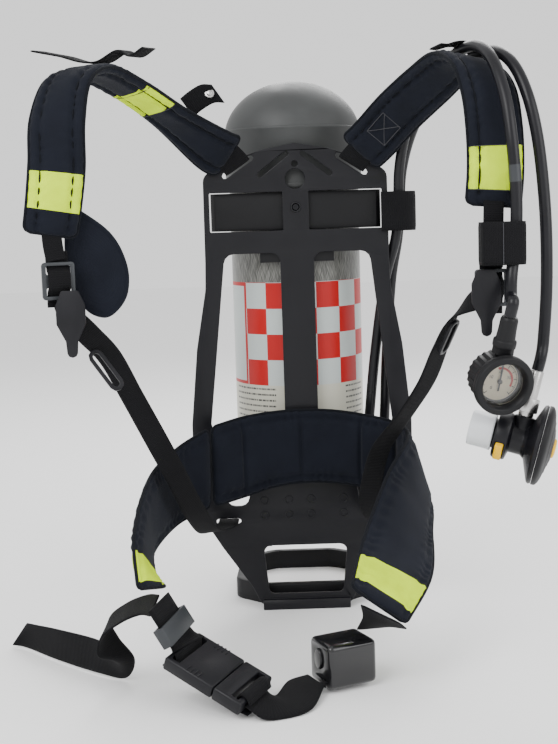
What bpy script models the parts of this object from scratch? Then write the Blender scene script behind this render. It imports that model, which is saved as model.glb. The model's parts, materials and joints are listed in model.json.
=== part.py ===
"""Air pack: a self-contained breathing set worn on the back.

Metres, +Z up. The wearer faces -Y, so +X is the wearer's left. The origin is the middle of the
foot of the backplate, on the floor. Each object is one sub-part.
"""

import math

import bmesh
import bpy
from mathutils import Matrix, Vector

# ---- driving dimensions -------------------------------------------------------------------
GAP = 0.0003  # between pieces that touch

CYL_R = 0.0785  # 6.8 litre wound cylinder
CYL_Y = 0.092
CYL_WALL = 0.006
CYL_TOP = 0.617
TOP_DOME_Z = 0.560
LOW_DOME_Z = 0.165
TOP_DOME_H = CYL_TOP - TOP_DOME_Z
LOW_DOME_H = 0.058
NECK_R = 0.017
NECK_BORE = 0.0125
NECK_END = 0.100
ROUND = 40  # sides of the large turned parts

BOOT_R = 0.0825
BOOT_TOP = 0.626
BOOT_LIP = 0.498

PLATE_T = 0.005
PLATE_SLOT_W = 0.007
SHOULDER_SLOT = (0.0653, 0.523)
WAIST_SLOT = (0.090, 0.108)
SILL = (0.104, 0.026, 0.012)
BUMPER_H = 0.024
BUMPER_WALL = 0.010

BAND_Z = 0.4715
BAND_W = 0.040
BAND_T = 0.002
BAND_R = CYL_R + 0.0035

VALVE_Z = 0.077
GAUGE_PORT_WAY = Vector((0.10, -0.55, 0.83)).normalized()
SUPPLY_PORT_WAY = Vector((0.17, -0.52, 0.83)).normalized()
PORT_REACH = 0.0433
HOSE_R = 0.006
WEB_T = 0.002
PAD_T = 0.013

# ---- places on the harness, left hand of the wearer at +X -----------------------------------
PAD_LEFT = (
    (0.0745, -0.0100, 0.5345),
    (0.0900, -0.0240, 0.5485),
    (0.1150, -0.0500, 0.5750),
    (0.1446, -0.0850, 0.6010),
    (0.1660, -0.1200, 0.6175),
    (0.1820, -0.1600, 0.6120),
    (0.1910, -0.1900, 0.5840),
    (0.1940, -0.2050, 0.5450),
    (0.1940, -0.2100, 0.5050),
    (0.1910, -0.2120, 0.4700),
)
PAD_LEFT_SIDE = (
    (0.84, 0.00, -0.55),
    (0.82, 0.03, -0.57),
    (0.80, 0.05, -0.60),
    (0.85, 0.10, -0.50),
    (0.92, 0.12, -0.35),
    (0.96, 0.10, -0.20),
    (1.00, 0.05, -0.05),
    (1.00, 0.00, 0.00),
    (1.00, 0.00, 0.00),
    (1.00, 0.00, 0.00),
)
PAD_RIGHT = (
    (-0.0745, -0.0100, 0.5345),
    (-0.0920, -0.0220, 0.5430),
    (-0.1354, -0.0600, 0.5770),
    (-0.1735, -0.1000, 0.6040),
    (-0.2050, -0.1450, 0.6180),
    (-0.2260, -0.1800, 0.6070),
    (-0.2350, -0.2050, 0.5660),
    (-0.2360, -0.2150, 0.5220),
    (-0.2400, -0.2200, 0.4850),
    (-0.2450, -0.2210, 0.4550),
)
PAD_RIGHT_SIDE = (
    (-0.84, 0.00, -0.55),
    (-0.82, 0.12, -0.48),
    (-0.74, 0.58, -0.18),
    (-0.76, 0.60, -0.12),
    (-0.86, 0.48, -0.10),
    (-0.94, 0.30, -0.05),
    (-0.98, 0.05, 0.00),
    (-0.95, -0.25, 0.00),
    (-0.92, -0.38, 0.00),
    (-0.90, -0.43, 0.00),
)
GAUGE_HOSE_ROUTE = (
    (0.0710, 0.0520, 0.1400),
    (0.0760, 0.0330, 0.1750),
    (0.0810, 0.0240, 0.2250),
    (0.0890, 0.0200, 0.3000),
    (0.1020, 0.0170, 0.3850),
    (0.1150, 0.0100, 0.4350),
    (0.1185, 0.0060, 0.4700),
    (0.1200, 0.0000, 0.5150),
    (0.1265, -0.0200, 0.5550),
    (0.1400, -0.0480, 0.5920),
    (0.1560, -0.0800, 0.6170),
    (0.1737, -0.1145, 0.6310),
    (0.1870, -0.1550, 0.6310),
    (0.1960, -0.1900, 0.6120),
    (0.2030, -0.2155, 0.5750),
    (0.2070, -0.2265, 0.5350),
    (0.2100, -0.2280, 0.4950),
    (0.2110, -0.2275, 0.4620),
    (0.2095, -0.2275, 0.4320),
    (0.2050, -0.2320, 0.4030),
    (0.2015, -0.2460, 0.3830),
)
SUPPLY_HOSE_ROUTE = (
    (0.0905, 0.0560, 0.1350),
    (0.0960, 0.0380, 0.1700),
    (0.1000, 0.0330, 0.2250),
    (0.1040, 0.0330, 0.3000),
    (0.1110, 0.0320, 0.3850),
    (0.1190, 0.0255, 0.4350),
    (0.1215, 0.0215, 0.4700),
    (0.1245, 0.0140, 0.5150),
    (0.1345, -0.0070, 0.5560),
    (0.1510, -0.0390, 0.5900),
    (0.1675, -0.0730, 0.6130),
    (0.1875, -0.1075, 0.6235),
    (0.2025, -0.1490, 0.6265),
    (0.2155, -0.1825, 0.6110),
    (0.2265, -0.2030, 0.5790),
    (0.2350, -0.2120, 0.5350),
    (0.2405, -0.2150, 0.4800),
    (0.2425, -0.2160, 0.4300),
    (0.2420, -0.2160, 0.3800),
    (0.2390, -0.2155, 0.3350),
)
GAUGE_AT = Vector((0.1876, -0.2430, 0.3015))
GAUGE_HOSE_END = Vector((0.1983, -0.2570, 0.3631))
GAUGE_FACING = Vector((0.21, -0.93, -0.30))
VALVE_FLANGE_AT = Vector((0.2330, -0.2250, 0.2313))
VALVE_AXIS = Vector((0.936, -0.245, -0.252)).normalized()
VALVE_STEM_UP = Vector((0.226, 0.020, 0.970))
BUCKLE_ENDS = (Vector((-0.129, -0.279, 0.050)), Vector((-0.0567, -0.318, 0.016)))
BUCKLE_UP = Vector((0.29, -0.33, 0.90))
ADJUSTER_AT = Vector((0.030, -0.252, 0.0265))
ADJUSTER_YAW = math.radians(25.5)


# ---- helpers --------------------------------------------------------------------------------
def clear_scene():
    for old in list(bpy.data.objects):
        bpy.data.objects.remove(old, do_unlink=True)


def new_collection(name):
    made = bpy.data.collections.new(name)
    bpy.context.scene.collection.children.link(made)
    return made


def material(name, colour, roughness, metallic=0.0, alpha=1.0):
    """The named Principled material, made the first time it is asked for."""
    if name in bpy.data.materials:
        return bpy.data.materials[name]
    made = bpy.data.materials.new(name)
    made.use_nodes = True
    shader = made.node_tree.nodes["Principled BSDF"]
    shader.inputs["Base Color"].default_value = (*colour, 1.0)
    shader.inputs["Roughness"].default_value = roughness
    shader.inputs["Metallic"].default_value = metallic
    shader.inputs["Alpha"].default_value = alpha
    return made


def black_nylon():
    return material("black_nylon", (0.022, 0.022, 0.026), 0.45)


def black_rubber():
    return material("black_rubber", (0.018, 0.018, 0.019), 0.62)


def webbing_black():
    return material("webbing_black", (0.014, 0.014, 0.016), 0.85)


def pad_cloth():
    return material("pad_cloth", (0.020, 0.022, 0.032), 0.80)


def plated_brass():
    return material("plated_brass", (0.62, 0.50, 0.30), 0.30, metallic=1.0)


def steel():
    return material("steel", (0.60, 0.60, 0.62), 0.28, metallic=1.0)


def signal_yellow():
    return material("signal_yellow", (0.85, 0.52, 0.03), 0.40)


def smooth_path(points, count):
    """count points along a smooth curve through the given ones."""
    knots = [Vector(p) for p in points]
    knots = [2 * knots[0] - knots[1], *knots, 2 * knots[-1] - knots[-2]]
    spans = len(points) - 1
    made = []
    for i in range(count):
        along = spans * i / (count - 1)
        k = min(int(along), spans - 1)
        t = along - k
        a, b, c, d = knots[k : k + 4]
        made.append(
            0.5
            * (
                2 * b
                + (c - a) * t
                + (2 * a - 5 * b + 4 * c - d) * t * t
                + (3 * b - a - 3 * c + d) * t**3
            )
        )
    return made


def frame_at(place, x_axis, z_hint):
    """A placing matrix: local X along x_axis, local Z as near z_hint as it can be."""
    x = Vector(x_axis).normalized()
    y = Vector(z_hint).cross(x).normalized()
    z = x.cross(y)
    turned = Matrix((x, y, z)).transposed().to_4x4()
    return Matrix.Translation(Vector(place)) @ turned


def along_z(place, z_axis, x_hint=(1, 0, 0)):
    """A placing matrix: local Z along z_axis."""
    z = Vector(z_axis).normalized()
    x = (Vector(x_hint) - z * z.dot(Vector(x_hint))).normalized()
    turned = Matrix((x, z.cross(x), z)).transposed().to_4x4()
    return Matrix.Translation(Vector(place)) @ turned


def new_object(name, mesh, where, coat, place=None, smooth=40):
    made = bpy.data.objects.new(name, mesh)
    where.objects.link(made)
    if coat is not None:
        mesh.materials.append(coat)
    mesh.shade_smooth()
    mesh.set_sharp_from_angle(angle=math.radians(smooth))
    if place is not None:
        made.matrix_world = place
    return made


def mesh_from(bm, name):
    mesh = bpy.data.meshes.new(name)
    bm.to_mesh(mesh)
    bm.free()
    return mesh


def box(name, size, where, coat, place=None, bevel=0.0, segments=2, middle=(0, 0, 0)):
    bm = bmesh.new()
    bmesh.ops.create_cube(bm, size=1.0)
    bmesh.ops.scale(bm, vec=Vector(size), verts=bm.verts)
    bmesh.ops.translate(bm, vec=Vector(middle), verts=bm.verts)
    made = new_object(name, mesh_from(bm, name), where, coat, place)
    if bevel:
        edge = made.modifiers.new("round_edges", "BEVEL")
        edge.width = bevel
        edge.segments = segments
    return made


def drum(name, radius, low, high, where, coat, place=None, sides=24, top_radius=None):
    """A closed cylinder or cone along local Z from low to high."""
    bm = bmesh.new()
    bmesh.ops.create_cone(
        bm,
        cap_ends=True,
        segments=sides,
        radius1=radius,
        radius2=radius if top_radius is None else top_radius,
        depth=high - low,
    )
    bmesh.ops.translate(bm, vec=(0, 0, (low + high) / 2), verts=bm.verts)
    return new_object(name, mesh_from(bm, name), where, coat, place)


def turned(name, profile, where, coat, place=None, sides=24, closed=False):
    """A profile of (radius, height), outer side first and top to bottom, turned about local Z."""
    bm = bmesh.new()
    points = [bm.verts.new((r, 0, z)) for r, z in profile]
    for a, b in zip(points, points[1:]):
        bm.edges.new((a, b))
    if closed:
        bm.edges.new((points[-1], points[0]))
    made = new_object(name, mesh_from(bm, name), where, coat, place)
    spin = made.modifiers.new("spin", "SCREW")
    spin.axis = "Z"
    spin.steps = sides
    spin.render_steps = sides
    spin.use_merge_vertices = True
    spin.merge_threshold = 0.00005
    spin.use_smooth_shade = True
    return made


def ring(name, inner, outer, low, high, where, coat, place=None, sides=24):
    loop = [(outer, high), (outer, low), (inner, low), (inner, high)]
    return turned(name, loop, where, coat, place, sides, closed=True)


def dome(radius, base, height, start, end, steps):
    """Points of a quarter ellipse, with angles in degrees above the base."""
    made = []
    for i in range(steps + 1):
        angle = math.radians(start + (end - start) * i / steps)
        made.append((radius * math.cos(angle), base + height * math.sin(angle)))
    return made


def rounded(corners, steps=3):
    """An outline from (x, y, radius) corners, each rounded by an arc."""
    made = []
    count = len(corners)
    for i, (x, y, radius) in enumerate(corners):
        here = Vector((x, y))
        before = (Vector(corners[i - 1][:2]) - here).normalized()
        after = (Vector(corners[(i + 1) % count][:2]) - here).normalized()
        if radius <= 0:
            made.append(here)
            continue
        half = before.angle(after) / 2
        reach = radius / math.tan(half)
        middle = here + (before + after).normalized() * (radius / math.sin(half))
        start = here + before * reach - middle
        end = here + after * reach - middle
        turn = start.angle_signed(end)
        for k in range(steps + 1):
            made.append(middle + rotate(start, -turn * k / steps))
    return made


def soft_rectangle(half, low, high, radius, steps):
    """A rectangle from -half to half, with rounded corners."""
    corners = [(-half, low), (half, low), (half, high), (-half, high)]
    return rounded([(x, y, radius) for x, y in corners], steps)


def rotate(flat, angle):
    c, s = math.cos(angle), math.sin(angle)
    return Vector((flat.x * c - flat.y * s, flat.x * s + flat.y * c))


def circle(x, y, radius, sides=12):
    step = 2 * math.pi / sides
    return [
        Vector((x + radius * math.cos(step * i), y + radius * math.sin(step * i)))
        for i in range(sides)
    ]


def slot(x, y, half_length, width, angle, steps=3):
    """A slot with round ends, about (x, y)."""
    r = width / 2
    made = []
    for side in (1, -1):
        for k in range(steps + 1):
            turn = math.pi * (k / steps - 0.5)
            p = Vector((half_length - r + r * math.cos(turn), r * math.sin(turn)))
            made.append(Vector((x, y)) + rotate(p * side, angle))
    return made


def cut_sheet(name, outlines, thickness, where, coat, place):
    """A flat piece with holes, about local Z = 0, as a welded mesh."""
    flat = bpy.data.curves.new(name, "CURVE")
    flat.dimensions = "2D"
    flat.fill_mode = "BOTH"
    flat.extrude = thickness / 2
    for outline in outlines:
        spline = flat.splines.new("POLY")
        spline.points.add(len(outline) - 1)
        for point, p in zip(spline.points, outline):
            point.co = (p[0], p[1], 0, 1)
        spline.use_cyclic_u = True
    guide = bpy.data.objects.new(name + "_outline", flat)
    bpy.context.scene.collection.objects.link(guide)
    graph = bpy.context.evaluated_depsgraph_get()
    mesh = bpy.data.meshes.new_from_object(guide.evaluated_get(graph))
    bpy.data.objects.remove(guide, do_unlink=True)
    bm = bmesh.new()
    bm.from_mesh(mesh)
    bmesh.ops.remove_doubles(bm, verts=bm.verts, dist=0.00001)
    bm.to_mesh(mesh)
    bm.free()
    mesh.materials.clear()
    return new_object(name, mesh, where, coat, place, smooth=30)


def origin_at(made, point):
    """Moves a piece's origin onto its joint's axis and leaves the piece where it is."""
    shift = made.matrix_world.inverted() @ Vector(point)
    made.data.transform(Matrix.Translation(-shift))
    made.matrix_world = made.matrix_world @ Matrix.Translation(shift)


def tube(name, points, radius, where, coat, count):
    """A cord's plain solid, along a smooth curve through the points."""
    path = bpy.data.curves.new(name, "CURVE")
    path.dimensions = "3D"
    path.bevel_depth = radius
    path.bevel_resolution = 2
    path.use_fill_caps = True
    spline = path.splines.new("POLY")
    spline.points.add(count - 1)
    for point, p in zip(spline.points, smooth_path(points, count)):
        point.co = (*p, 1)
    path.materials.append(coat)
    made = bpy.data.objects.new(name, path)
    where.objects.link(made)
    return made


def strip(name, upper, lower, thickness, where, coat, count, across=1, bevel=0.0):
    """A strap or pad between two smooth edges, thickened to both sides."""
    bm = bmesh.new()
    bmesh.ops.create_grid(bm, x_segments=count - 1, y_segments=across, size=1.0)
    one = smooth_path(upper, count)
    other = smooth_path(lower, count)
    for vert in bm.verts:
        along = round((vert.co.x + 1) / 2 * (count - 1))
        vert.co = one[along].lerp(other[along], (vert.co.y + 1) / 2)
    made = new_object(name, mesh_from(bm, name), where, coat)
    thick = made.modifiers.new("thickness", "SOLIDIFY")
    thick.thickness = thickness
    thick.offset = 0.0
    thick.use_even_offset = True
    if bevel:
        edge = made.modifiers.new("round_edges", "BEVEL")
        edge.width = bevel
        edge.segments = 2
        edge.limit_method = "ANGLE"
        edge.angle_limit = math.radians(50)
    return made


def edges_of(middle, sides, half):
    """The two edges of a strap from its middle line and the direction of its width."""
    one, other = [], []
    last = len(middle) - 1
    for i, (p, side) in enumerate(zip(middle, sides)):
        here = Vector(p)
        run = Vector(middle[min(i + 1, last)]) - Vector(middle[max(i - 1, 0)])
        run.normalize()
        wide = Vector(side) - run * run.dot(Vector(side))
        wide.normalize()
        one.append(here + wide * half)
        other.append(here - wide * half)
    return one, other


def join(target, tool, operation="UNION"):
    step = target.modifiers.new(operation.lower(), "BOOLEAN")
    step.operation = operation
    step.solver = "EXACT"
    step.object = tool
    tool.hide_render = True
    tool.display_type = "WIRE"
    return target


def mirrored(points):
    return [Vector((-p[0], p[1], p[2])) for p in points]


# ---- backplate and base ---------------------------------------------------------------------
def plate_outline():
    half = [
        (0.0, 0.5485, 0.0),
        (0.039, 0.5415, 0.02),
        (0.091, 0.5235, 0.02),
        (0.1058, 0.5130, 0.012),
        (0.1065, 0.4150, 0.05),
        (0.1075, 0.3830, 0.05),
        (0.1200, 0.3140, 0.05),
        (0.1290, 0.2250, 0.03),
        (0.1290, 0.1750, 0.03),
        (0.1220, 0.1150, 0.02),
        (0.0980, 0.0760, 0.02),
        (0.0640, 0.0270, 0.02),
        (0.0540, 0.0060, 0.004),
    ]
    other = [(-x, y, r) for x, y, r in reversed(half[1:])]
    return rounded(half + other)


def plate_windows():
    holes = []
    for s in (1, -1):
        holes.append(
            rounded(
                [
                    (s * 0.0195, 0.4235, 0.010),
                    (s * 0.0840, 0.4235, 0.012),
                    (s * 0.1075, 0.2150, 0.010),
                    (s * 0.0195, 0.2150, 0.010),
                ]
            )
        )
        holes.append(
            rounded(
                [
                    (s * 0.0150, 0.4935, 0.001),
                    (s * 0.0995, 0.4940, 0.001),
                    (s * 0.0995, 0.4490, 0.001),
                    (s * 0.0150, 0.4495, 0.001),
                ],
                1,
            )
        )
        holes.append(
            rounded(
                [
                    (s * 0.060, 0.180, 0.006),
                    (s * 0.098, 0.180, 0.008),
                    (s * 0.090, 0.126, 0.010),
                    (s * 0.066, 0.126, 0.010),
                ]
            )
        )
        holes.append(slot(s * 0.0250, 0.5250, 0.0225, 0.0062, -s * 0.645))
        sx, sz = SHOULDER_SLOT
        holes.append(slot(s * sx, sz, 0.0215, PLATE_SLOT_W, -s * 0.58))
        wx, wz = WAIST_SLOT
        holes.append(slot(s * wx, wz, 0.0150, PLATE_SLOT_W, 0.0))
    holes.append(
        rounded(
            [
                (-0.050, 0.077, 0.008),
                (0.050, 0.077, 0.008),
                (0.044, 0.018, 0.006),
                (-0.044, 0.018, 0.006),
            ]
        )
    )
    holes.append(circle(0.0, 0.4755, 0.0042))
    holes.append(circle(0.0, 0.5080, 0.0115, 20))
    holes.append(circle(0.0, 0.5250, 0.0036))
    return holes


def backplate(parts, cutters):
    """Moulded plate; the sill along its lower edge is the face it stands on."""
    upright = Matrix.Translation((0, PLATE_T / 2, 0)) @ Matrix.Rotation(math.pi / 2, 4, "X")
    outlines = [plate_outline(), *plate_windows()]
    plate = cut_sheet("backplate", outlines, PLATE_T, parts, black_nylon(), upright)
    middle = (0, SILL[1] / 2 - 0.006, SILL[2] / 2)
    sill = box("sill_tool", SILL, cutters, None, middle=middle)
    join(plate, sill)
    for s in (1, -1):
        flange = box(
            f"flange_tool_{s}",
            (0.004, 0.0125, 0.110),
            cutters,
            None,
            Matrix.Translation((s * 0.1150, PLATE_T + 0.0055, 0.285))
            @ Matrix.Rotation(-s * 0.102, 4, "Y"),
        )
        join(plate, flange)


def base_bumper(parts):
    """Closed loop round the valve, level with the foot of the plate."""
    front = SILL[1] - 0.006 + GAP
    outer = rounded(
        [
            (-0.052, front, 0.002),
            (0.052, front, 0.002),
            (0.086, 0.050, 0.020),
            (0.082, 0.150, 0.040),
            (0.040, 0.182, 0.030),
            (-0.040, 0.182, 0.030),
            (-0.082, 0.150, 0.040),
            (-0.086, 0.050, 0.020),
        ],
        4,
    )
    w = BUMPER_WALL
    inner = rounded(
        [
            (-0.046, front + w, 0.002),
            (0.046, front + w, 0.002),
            (0.075, 0.056, 0.014),
            (0.072, 0.146, 0.032),
            (0.036, 0.172, 0.022),
            (-0.036, 0.172, 0.022),
            (-0.072, 0.146, 0.032),
            (-0.075, 0.056, 0.014),
        ],
        4,
    )
    place = Matrix.Translation((0, 0, BUMPER_H / 2))
    cut_sheet("base_bumper", [outer, inner], BUMPER_H, parts, black_rubber(), place)


def cylinder_cradle(parts, cutters):
    """Saddle between plate and cylinder, behind the band windows."""
    depth = 0.022
    cradle = box(
        "cylinder_cradle",
        (0.086, depth, 0.026),
        parts,
        black_rubber(),
        Matrix.Translation((0, PLATE_T + GAP + depth / 2, 0.4385 - 0.013)),
    )
    seat = drum(
        "cradle_seat_tool",
        CYL_R + 0.001,
        -0.05,
        0.05,
        cutters,
        None,
        Matrix.Translation((0, CYL_Y, 0.4255)),
        sides=ROUND,
    )
    join(cradle, seat, "DIFFERENCE")


def reducer_bracket(parts, cutters):
    """Shelf from the plate's back that carries the pressure reducer."""
    low = VALVE_Z - 0.0225
    shelf = box(
        "reducer_bracket",
        (0.030, 0.098, 0.003),
        parts,
        steel(),
        Matrix.Translation((0.072, PLATE_T + GAP + 0.049, low)),
    )
    tab = box(
        "bracket_tab_tool",
        (0.024, 0.003, 0.026),
        cutters,
        None,
        Matrix.Translation((0.072, PLATE_T + GAP + 0.0015, low + 0.0116)),
    )
    join(shelf, tab)


# ---- cylinder -------------------------------------------------------------------------------
def cylinder_shell(parts):
    inner_r = CYL_R - CYL_WALL
    inner_low = LOW_DOME_H - CYL_WALL
    low_turn = -math.degrees(math.acos(NECK_R / CYL_R))
    bore_turn = -math.degrees(math.acos(NECK_BORE / inner_r))
    profile = dome(CYL_R, TOP_DOME_Z, TOP_DOME_H, 90, 0, 7)
    profile += dome(CYL_R, LOW_DOME_Z, LOW_DOME_H, 0, low_turn, 6)
    profile += [(NECK_R, NECK_END), (NECK_BORE, NECK_END)]
    profile += dome(inner_r, LOW_DOME_Z, inner_low, bore_turn, 0, 5)
    profile += dome(inner_r, TOP_DOME_Z, TOP_DOME_H - CYL_WALL, 0, 90, 6)
    profile[0] = (0.0, CYL_TOP)
    profile[-1] = (0.0, CYL_TOP - CYL_WALL)
    coat = material("wound_composite", (0.20, 0.20, 0.19), 0.35)
    place = Matrix.Translation((0, CYL_Y, 0))
    turned("cylinder_shell", profile, parts, coat, place, ROUND)


def cylinder_boot(parts):
    """Rubber cap over the cylinder's blind end."""
    inner = CYL_R + 0.0006
    profile = dome(BOOT_R, TOP_DOME_Z, BOOT_TOP - TOP_DOME_Z, 90, 0, 8)
    profile += [(BOOT_R, BOOT_LIP + 0.006), (BOOT_R + 0.0012, BOOT_LIP + 0.005)]
    profile += [(BOOT_R + 0.0012, BOOT_LIP), (inner, BOOT_LIP)]
    profile += dome(inner, TOP_DOME_Z, TOP_DOME_H + 0.0008, 0, 90, 7)
    profile[0] = (0.0, BOOT_TOP)
    profile[-1] = (0.0, CYL_TOP + 0.0008)
    coat = material("boot_rubber", (0.09, 0.09, 0.09), 0.55)
    place = Matrix.Translation((0, CYL_Y, 0))
    turned("cylinder_boot", profile, parts, coat, place, ROUND)


def band_loop(grow):
    """Plan of the band: flat behind the plate, round the back of the cylinder."""
    made = []
    reach = BAND_R + grow
    for k in range(17):
        angle = math.radians(-2 + 184 * k / 16)
        made.append(Vector((reach * math.cos(angle), CYL_Y + reach * math.sin(angle))))
    flat = PLATE_T + 0.0035 - grow
    side = 0.0935 + grow
    made += [Vector((-side, 0.040)), Vector((-side, flat + 0.006))]
    made += [Vector((-side + 0.005, flat)), Vector((side - 0.005, flat))]
    made += [Vector((side, flat + 0.006)), Vector((side, 0.040))]
    return made


def cylinder_band(parts):
    place = Matrix.Translation((0, 0, BAND_Z))
    loops = [band_loop(BAND_T), band_loop(0.0)]
    cut_sheet("cylinder_band", loops, BAND_W, parts, webbing_black(), place)


def band_cam(parts, cutters):
    """Over-centre buckle that draws the band tight, at the back of the cylinder."""
    back = CYL_Y + BAND_R + BAND_T + GAP
    frame = box(
        "band_cam_frame",
        (0.052, 0.003, 0.0385),
        parts,
        steel(),
        Matrix.Translation((0.0, back + 0.0015, BAND_Z)),
    )
    for s in (1, -1):
        ear = box(
            f"cam_ear_tool_{s}",
            (0.012, 0.012, 0.002),
            cutters,
            None,
            Matrix.Translation((0.018, back + 0.006, BAND_Z + s * 0.0180)),
        )
        join(frame, ear)
    pin_at = (0.018, back + 0.0085, BAND_Z)
    pin = drum(
        "cam_pin_tool", 0.0016, -0.0178, 0.0178, cutters, None, Matrix.Translation(pin_at), 12
    )
    join(frame, pin)
    lever = box(
        "band_cam_lever",
        (0.046, 0.0045, 0.032),
        parts,
        steel(),
        Matrix.Translation(pin_at),
        bevel=0.0012,
        middle=(-0.0190, 0.0, 0.0),
    )
    bore = drum(
        "cam_bore_tool", 0.0019, -0.03, 0.03, cutters, None, Matrix.Translation(pin_at), 12
    )
    join(lever, bore, "DIFFERENCE")


# ---- cylinder valve and pressure reducer ----------------------------------------------------
def valve_place(x=0.0):
    return along_z((x, CYL_Y, VALVE_Z), (1, 0, 0), (0, 0, 1))


def cylinder_valve(parts, cutters):
    stem_r = NECK_BORE - 0.0005
    shoulder = NECK_END - GAP
    profile = [
        (0.0, 0.130),
        (stem_r, 0.130),
        (stem_r, shoulder),
        (0.0165, shoulder),
        (0.0165, 0.0930),
        (0.0120, 0.0900),
        (0.0120, VALVE_Z),
        (0.0, VALVE_Z),
    ]
    body = turned(
        "valve_body", profile, parts, plated_brass(), Matrix.Translation((0, CYL_Y, 0))
    )
    barrel = drum(
        "valve_barrel_tool", 0.0135, -0.0300, 0.0260, cutters, None, valve_place()
    )
    stub = drum("valve_stub_tool", 0.0112, 0.0200, 0.0400, cutters, None, valve_place())
    boss_at = along_z((0, CYL_Y, VALVE_Z), (0, 1, 0))
    boss = drum("valve_boss_tool", 0.0070, 0.0, 0.0160, cutters, None, boss_at, 20)
    plug = drum("burst_plug_tool", 0.0062, 0.0150, 0.0225, cutters, None, boss_at, 6)
    bonnet = drum("bonnet_tool", 0.0125, -0.0380, -0.0290, cutters, None, valve_place(), 6)
    for tool in (barrel, stub, boss, plug, bonnet):
        join(body, tool)
    bore = drum("spindle_bore_tool", 0.0046, -0.0500, -0.0300, cutters, None, valve_place(), 16)
    join(body, bore, "DIFFERENCE")
    lobes = 10
    outline = []
    for k in range(60):
        angle = 2 * math.pi * k / 60
        reach = 0.0235 + 0.0016 * math.cos(lobes * angle)
        outline.append(Vector((reach * math.cos(angle), reach * math.sin(angle))))
    wheel = cut_sheet(
        "valve_handwheel", [outline], 0.020, parts, black_rubber(), valve_place(-0.0503)
    )
    spindle = drum("spindle_tool", 0.0040, -0.0450, -0.0304, cutters, None, valve_place(), 16)
    join(wheel, spindle)


def reducer(parts, cutters):
    """Drops cylinder pressure to line pressure; the two hoses leave from it."""
    grips = 12
    outline = []
    for k in range(72):
        angle = 2 * math.pi * k / 72
        reach = 0.0178 + 0.0007 * math.cos(grips * angle)
        outline.append(Vector((reach * math.cos(angle), reach * math.sin(angle))))
    cut_sheet(
        "reducer_hand_nut",
        [outline, circle(0, 0, 0.0119, 24)],
        0.0225,
        parts,
        black_nylon(),
        valve_place(0.0380),
    )
    profile = [
        (0.0, 0.1080),
        (0.0120, 0.1080),
        (0.0148, 0.1055),
        (0.0148, 0.0910),
        (0.0170, 0.0900),
        (0.0170, 0.0500),
        (0.0110, 0.0495),
        (0.0110, 0.0403),
        (0.0, 0.0403),
    ]
    body = turned("reducer_body", profile, parts, plated_brass(), valve_place())
    for name, x, way in (("gauge", 0.0600, GAUGE_PORT_WAY), ("supply", 0.0800, SUPPLY_PORT_WAY)):
        place = along_z((x, CYL_Y, VALVE_Z), way)
        port = drum(f"{name}_port_tool", 0.0072, 0.0, 0.0240, cutters, None, place, 16)
        join(body, port)
        drum(f"{name}_hose_ferrule", 0.0082, 0.0240 + GAP, 0.0430, parts, steel(), place, 16)
    relief_at = along_z((0.070, CYL_Y + 0.0172, VALVE_Z), (0, 1, 0))
    drum("relief_valve", 0.0060, 0.0003, 0.0150, parts, plated_brass(), relief_at, 6)


# ---- hoses ----------------------------------------------------------------------------------
def hoses(parts):
    coat = material("hose_rubber", (0.020, 0.020, 0.022), 0.40)
    lead = 0.014
    way = gauge_stem_way()
    start = Vector((0.0600, CYL_Y, VALVE_Z)) + GAUGE_PORT_WAY * PORT_REACH
    end = GAUGE_HOSE_END + way * 0.0012
    route = [start, start + GAUGE_PORT_WAY * lead, *GAUGE_HOSE_ROUTE, end + way * lead, end]
    tube("gauge_hose", route, HOSE_R, parts, coat, 54)
    start = Vector((0.0800, CYL_Y, VALVE_Z)) + SUPPLY_PORT_WAY * PORT_REACH
    end = supply_place() @ Vector((0, 0, 0.0716))
    lead_end = supply_place() @ Vector((0, 0, 0.0716 + lead))
    route = [start, start + SUPPLY_PORT_WAY * lead, *SUPPLY_HOSE_ROUTE, lead_end, end]
    tube("supply_hose", route, HOSE_R, parts, coat, 56)


# ---- pressure gauge -------------------------------------------------------------------------
def gauge_stem_way():
    return (GAUGE_HOSE_END - GAUGE_AT).normalized()


def gauge_place():
    """Local Z out of the dial, local X along the stem."""
    way = gauge_stem_way()
    facing = (GAUGE_FACING - way * way.dot(GAUGE_FACING)).normalized()
    return along_z(GAUGE_AT + facing * 0.0040, facing, way)


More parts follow.
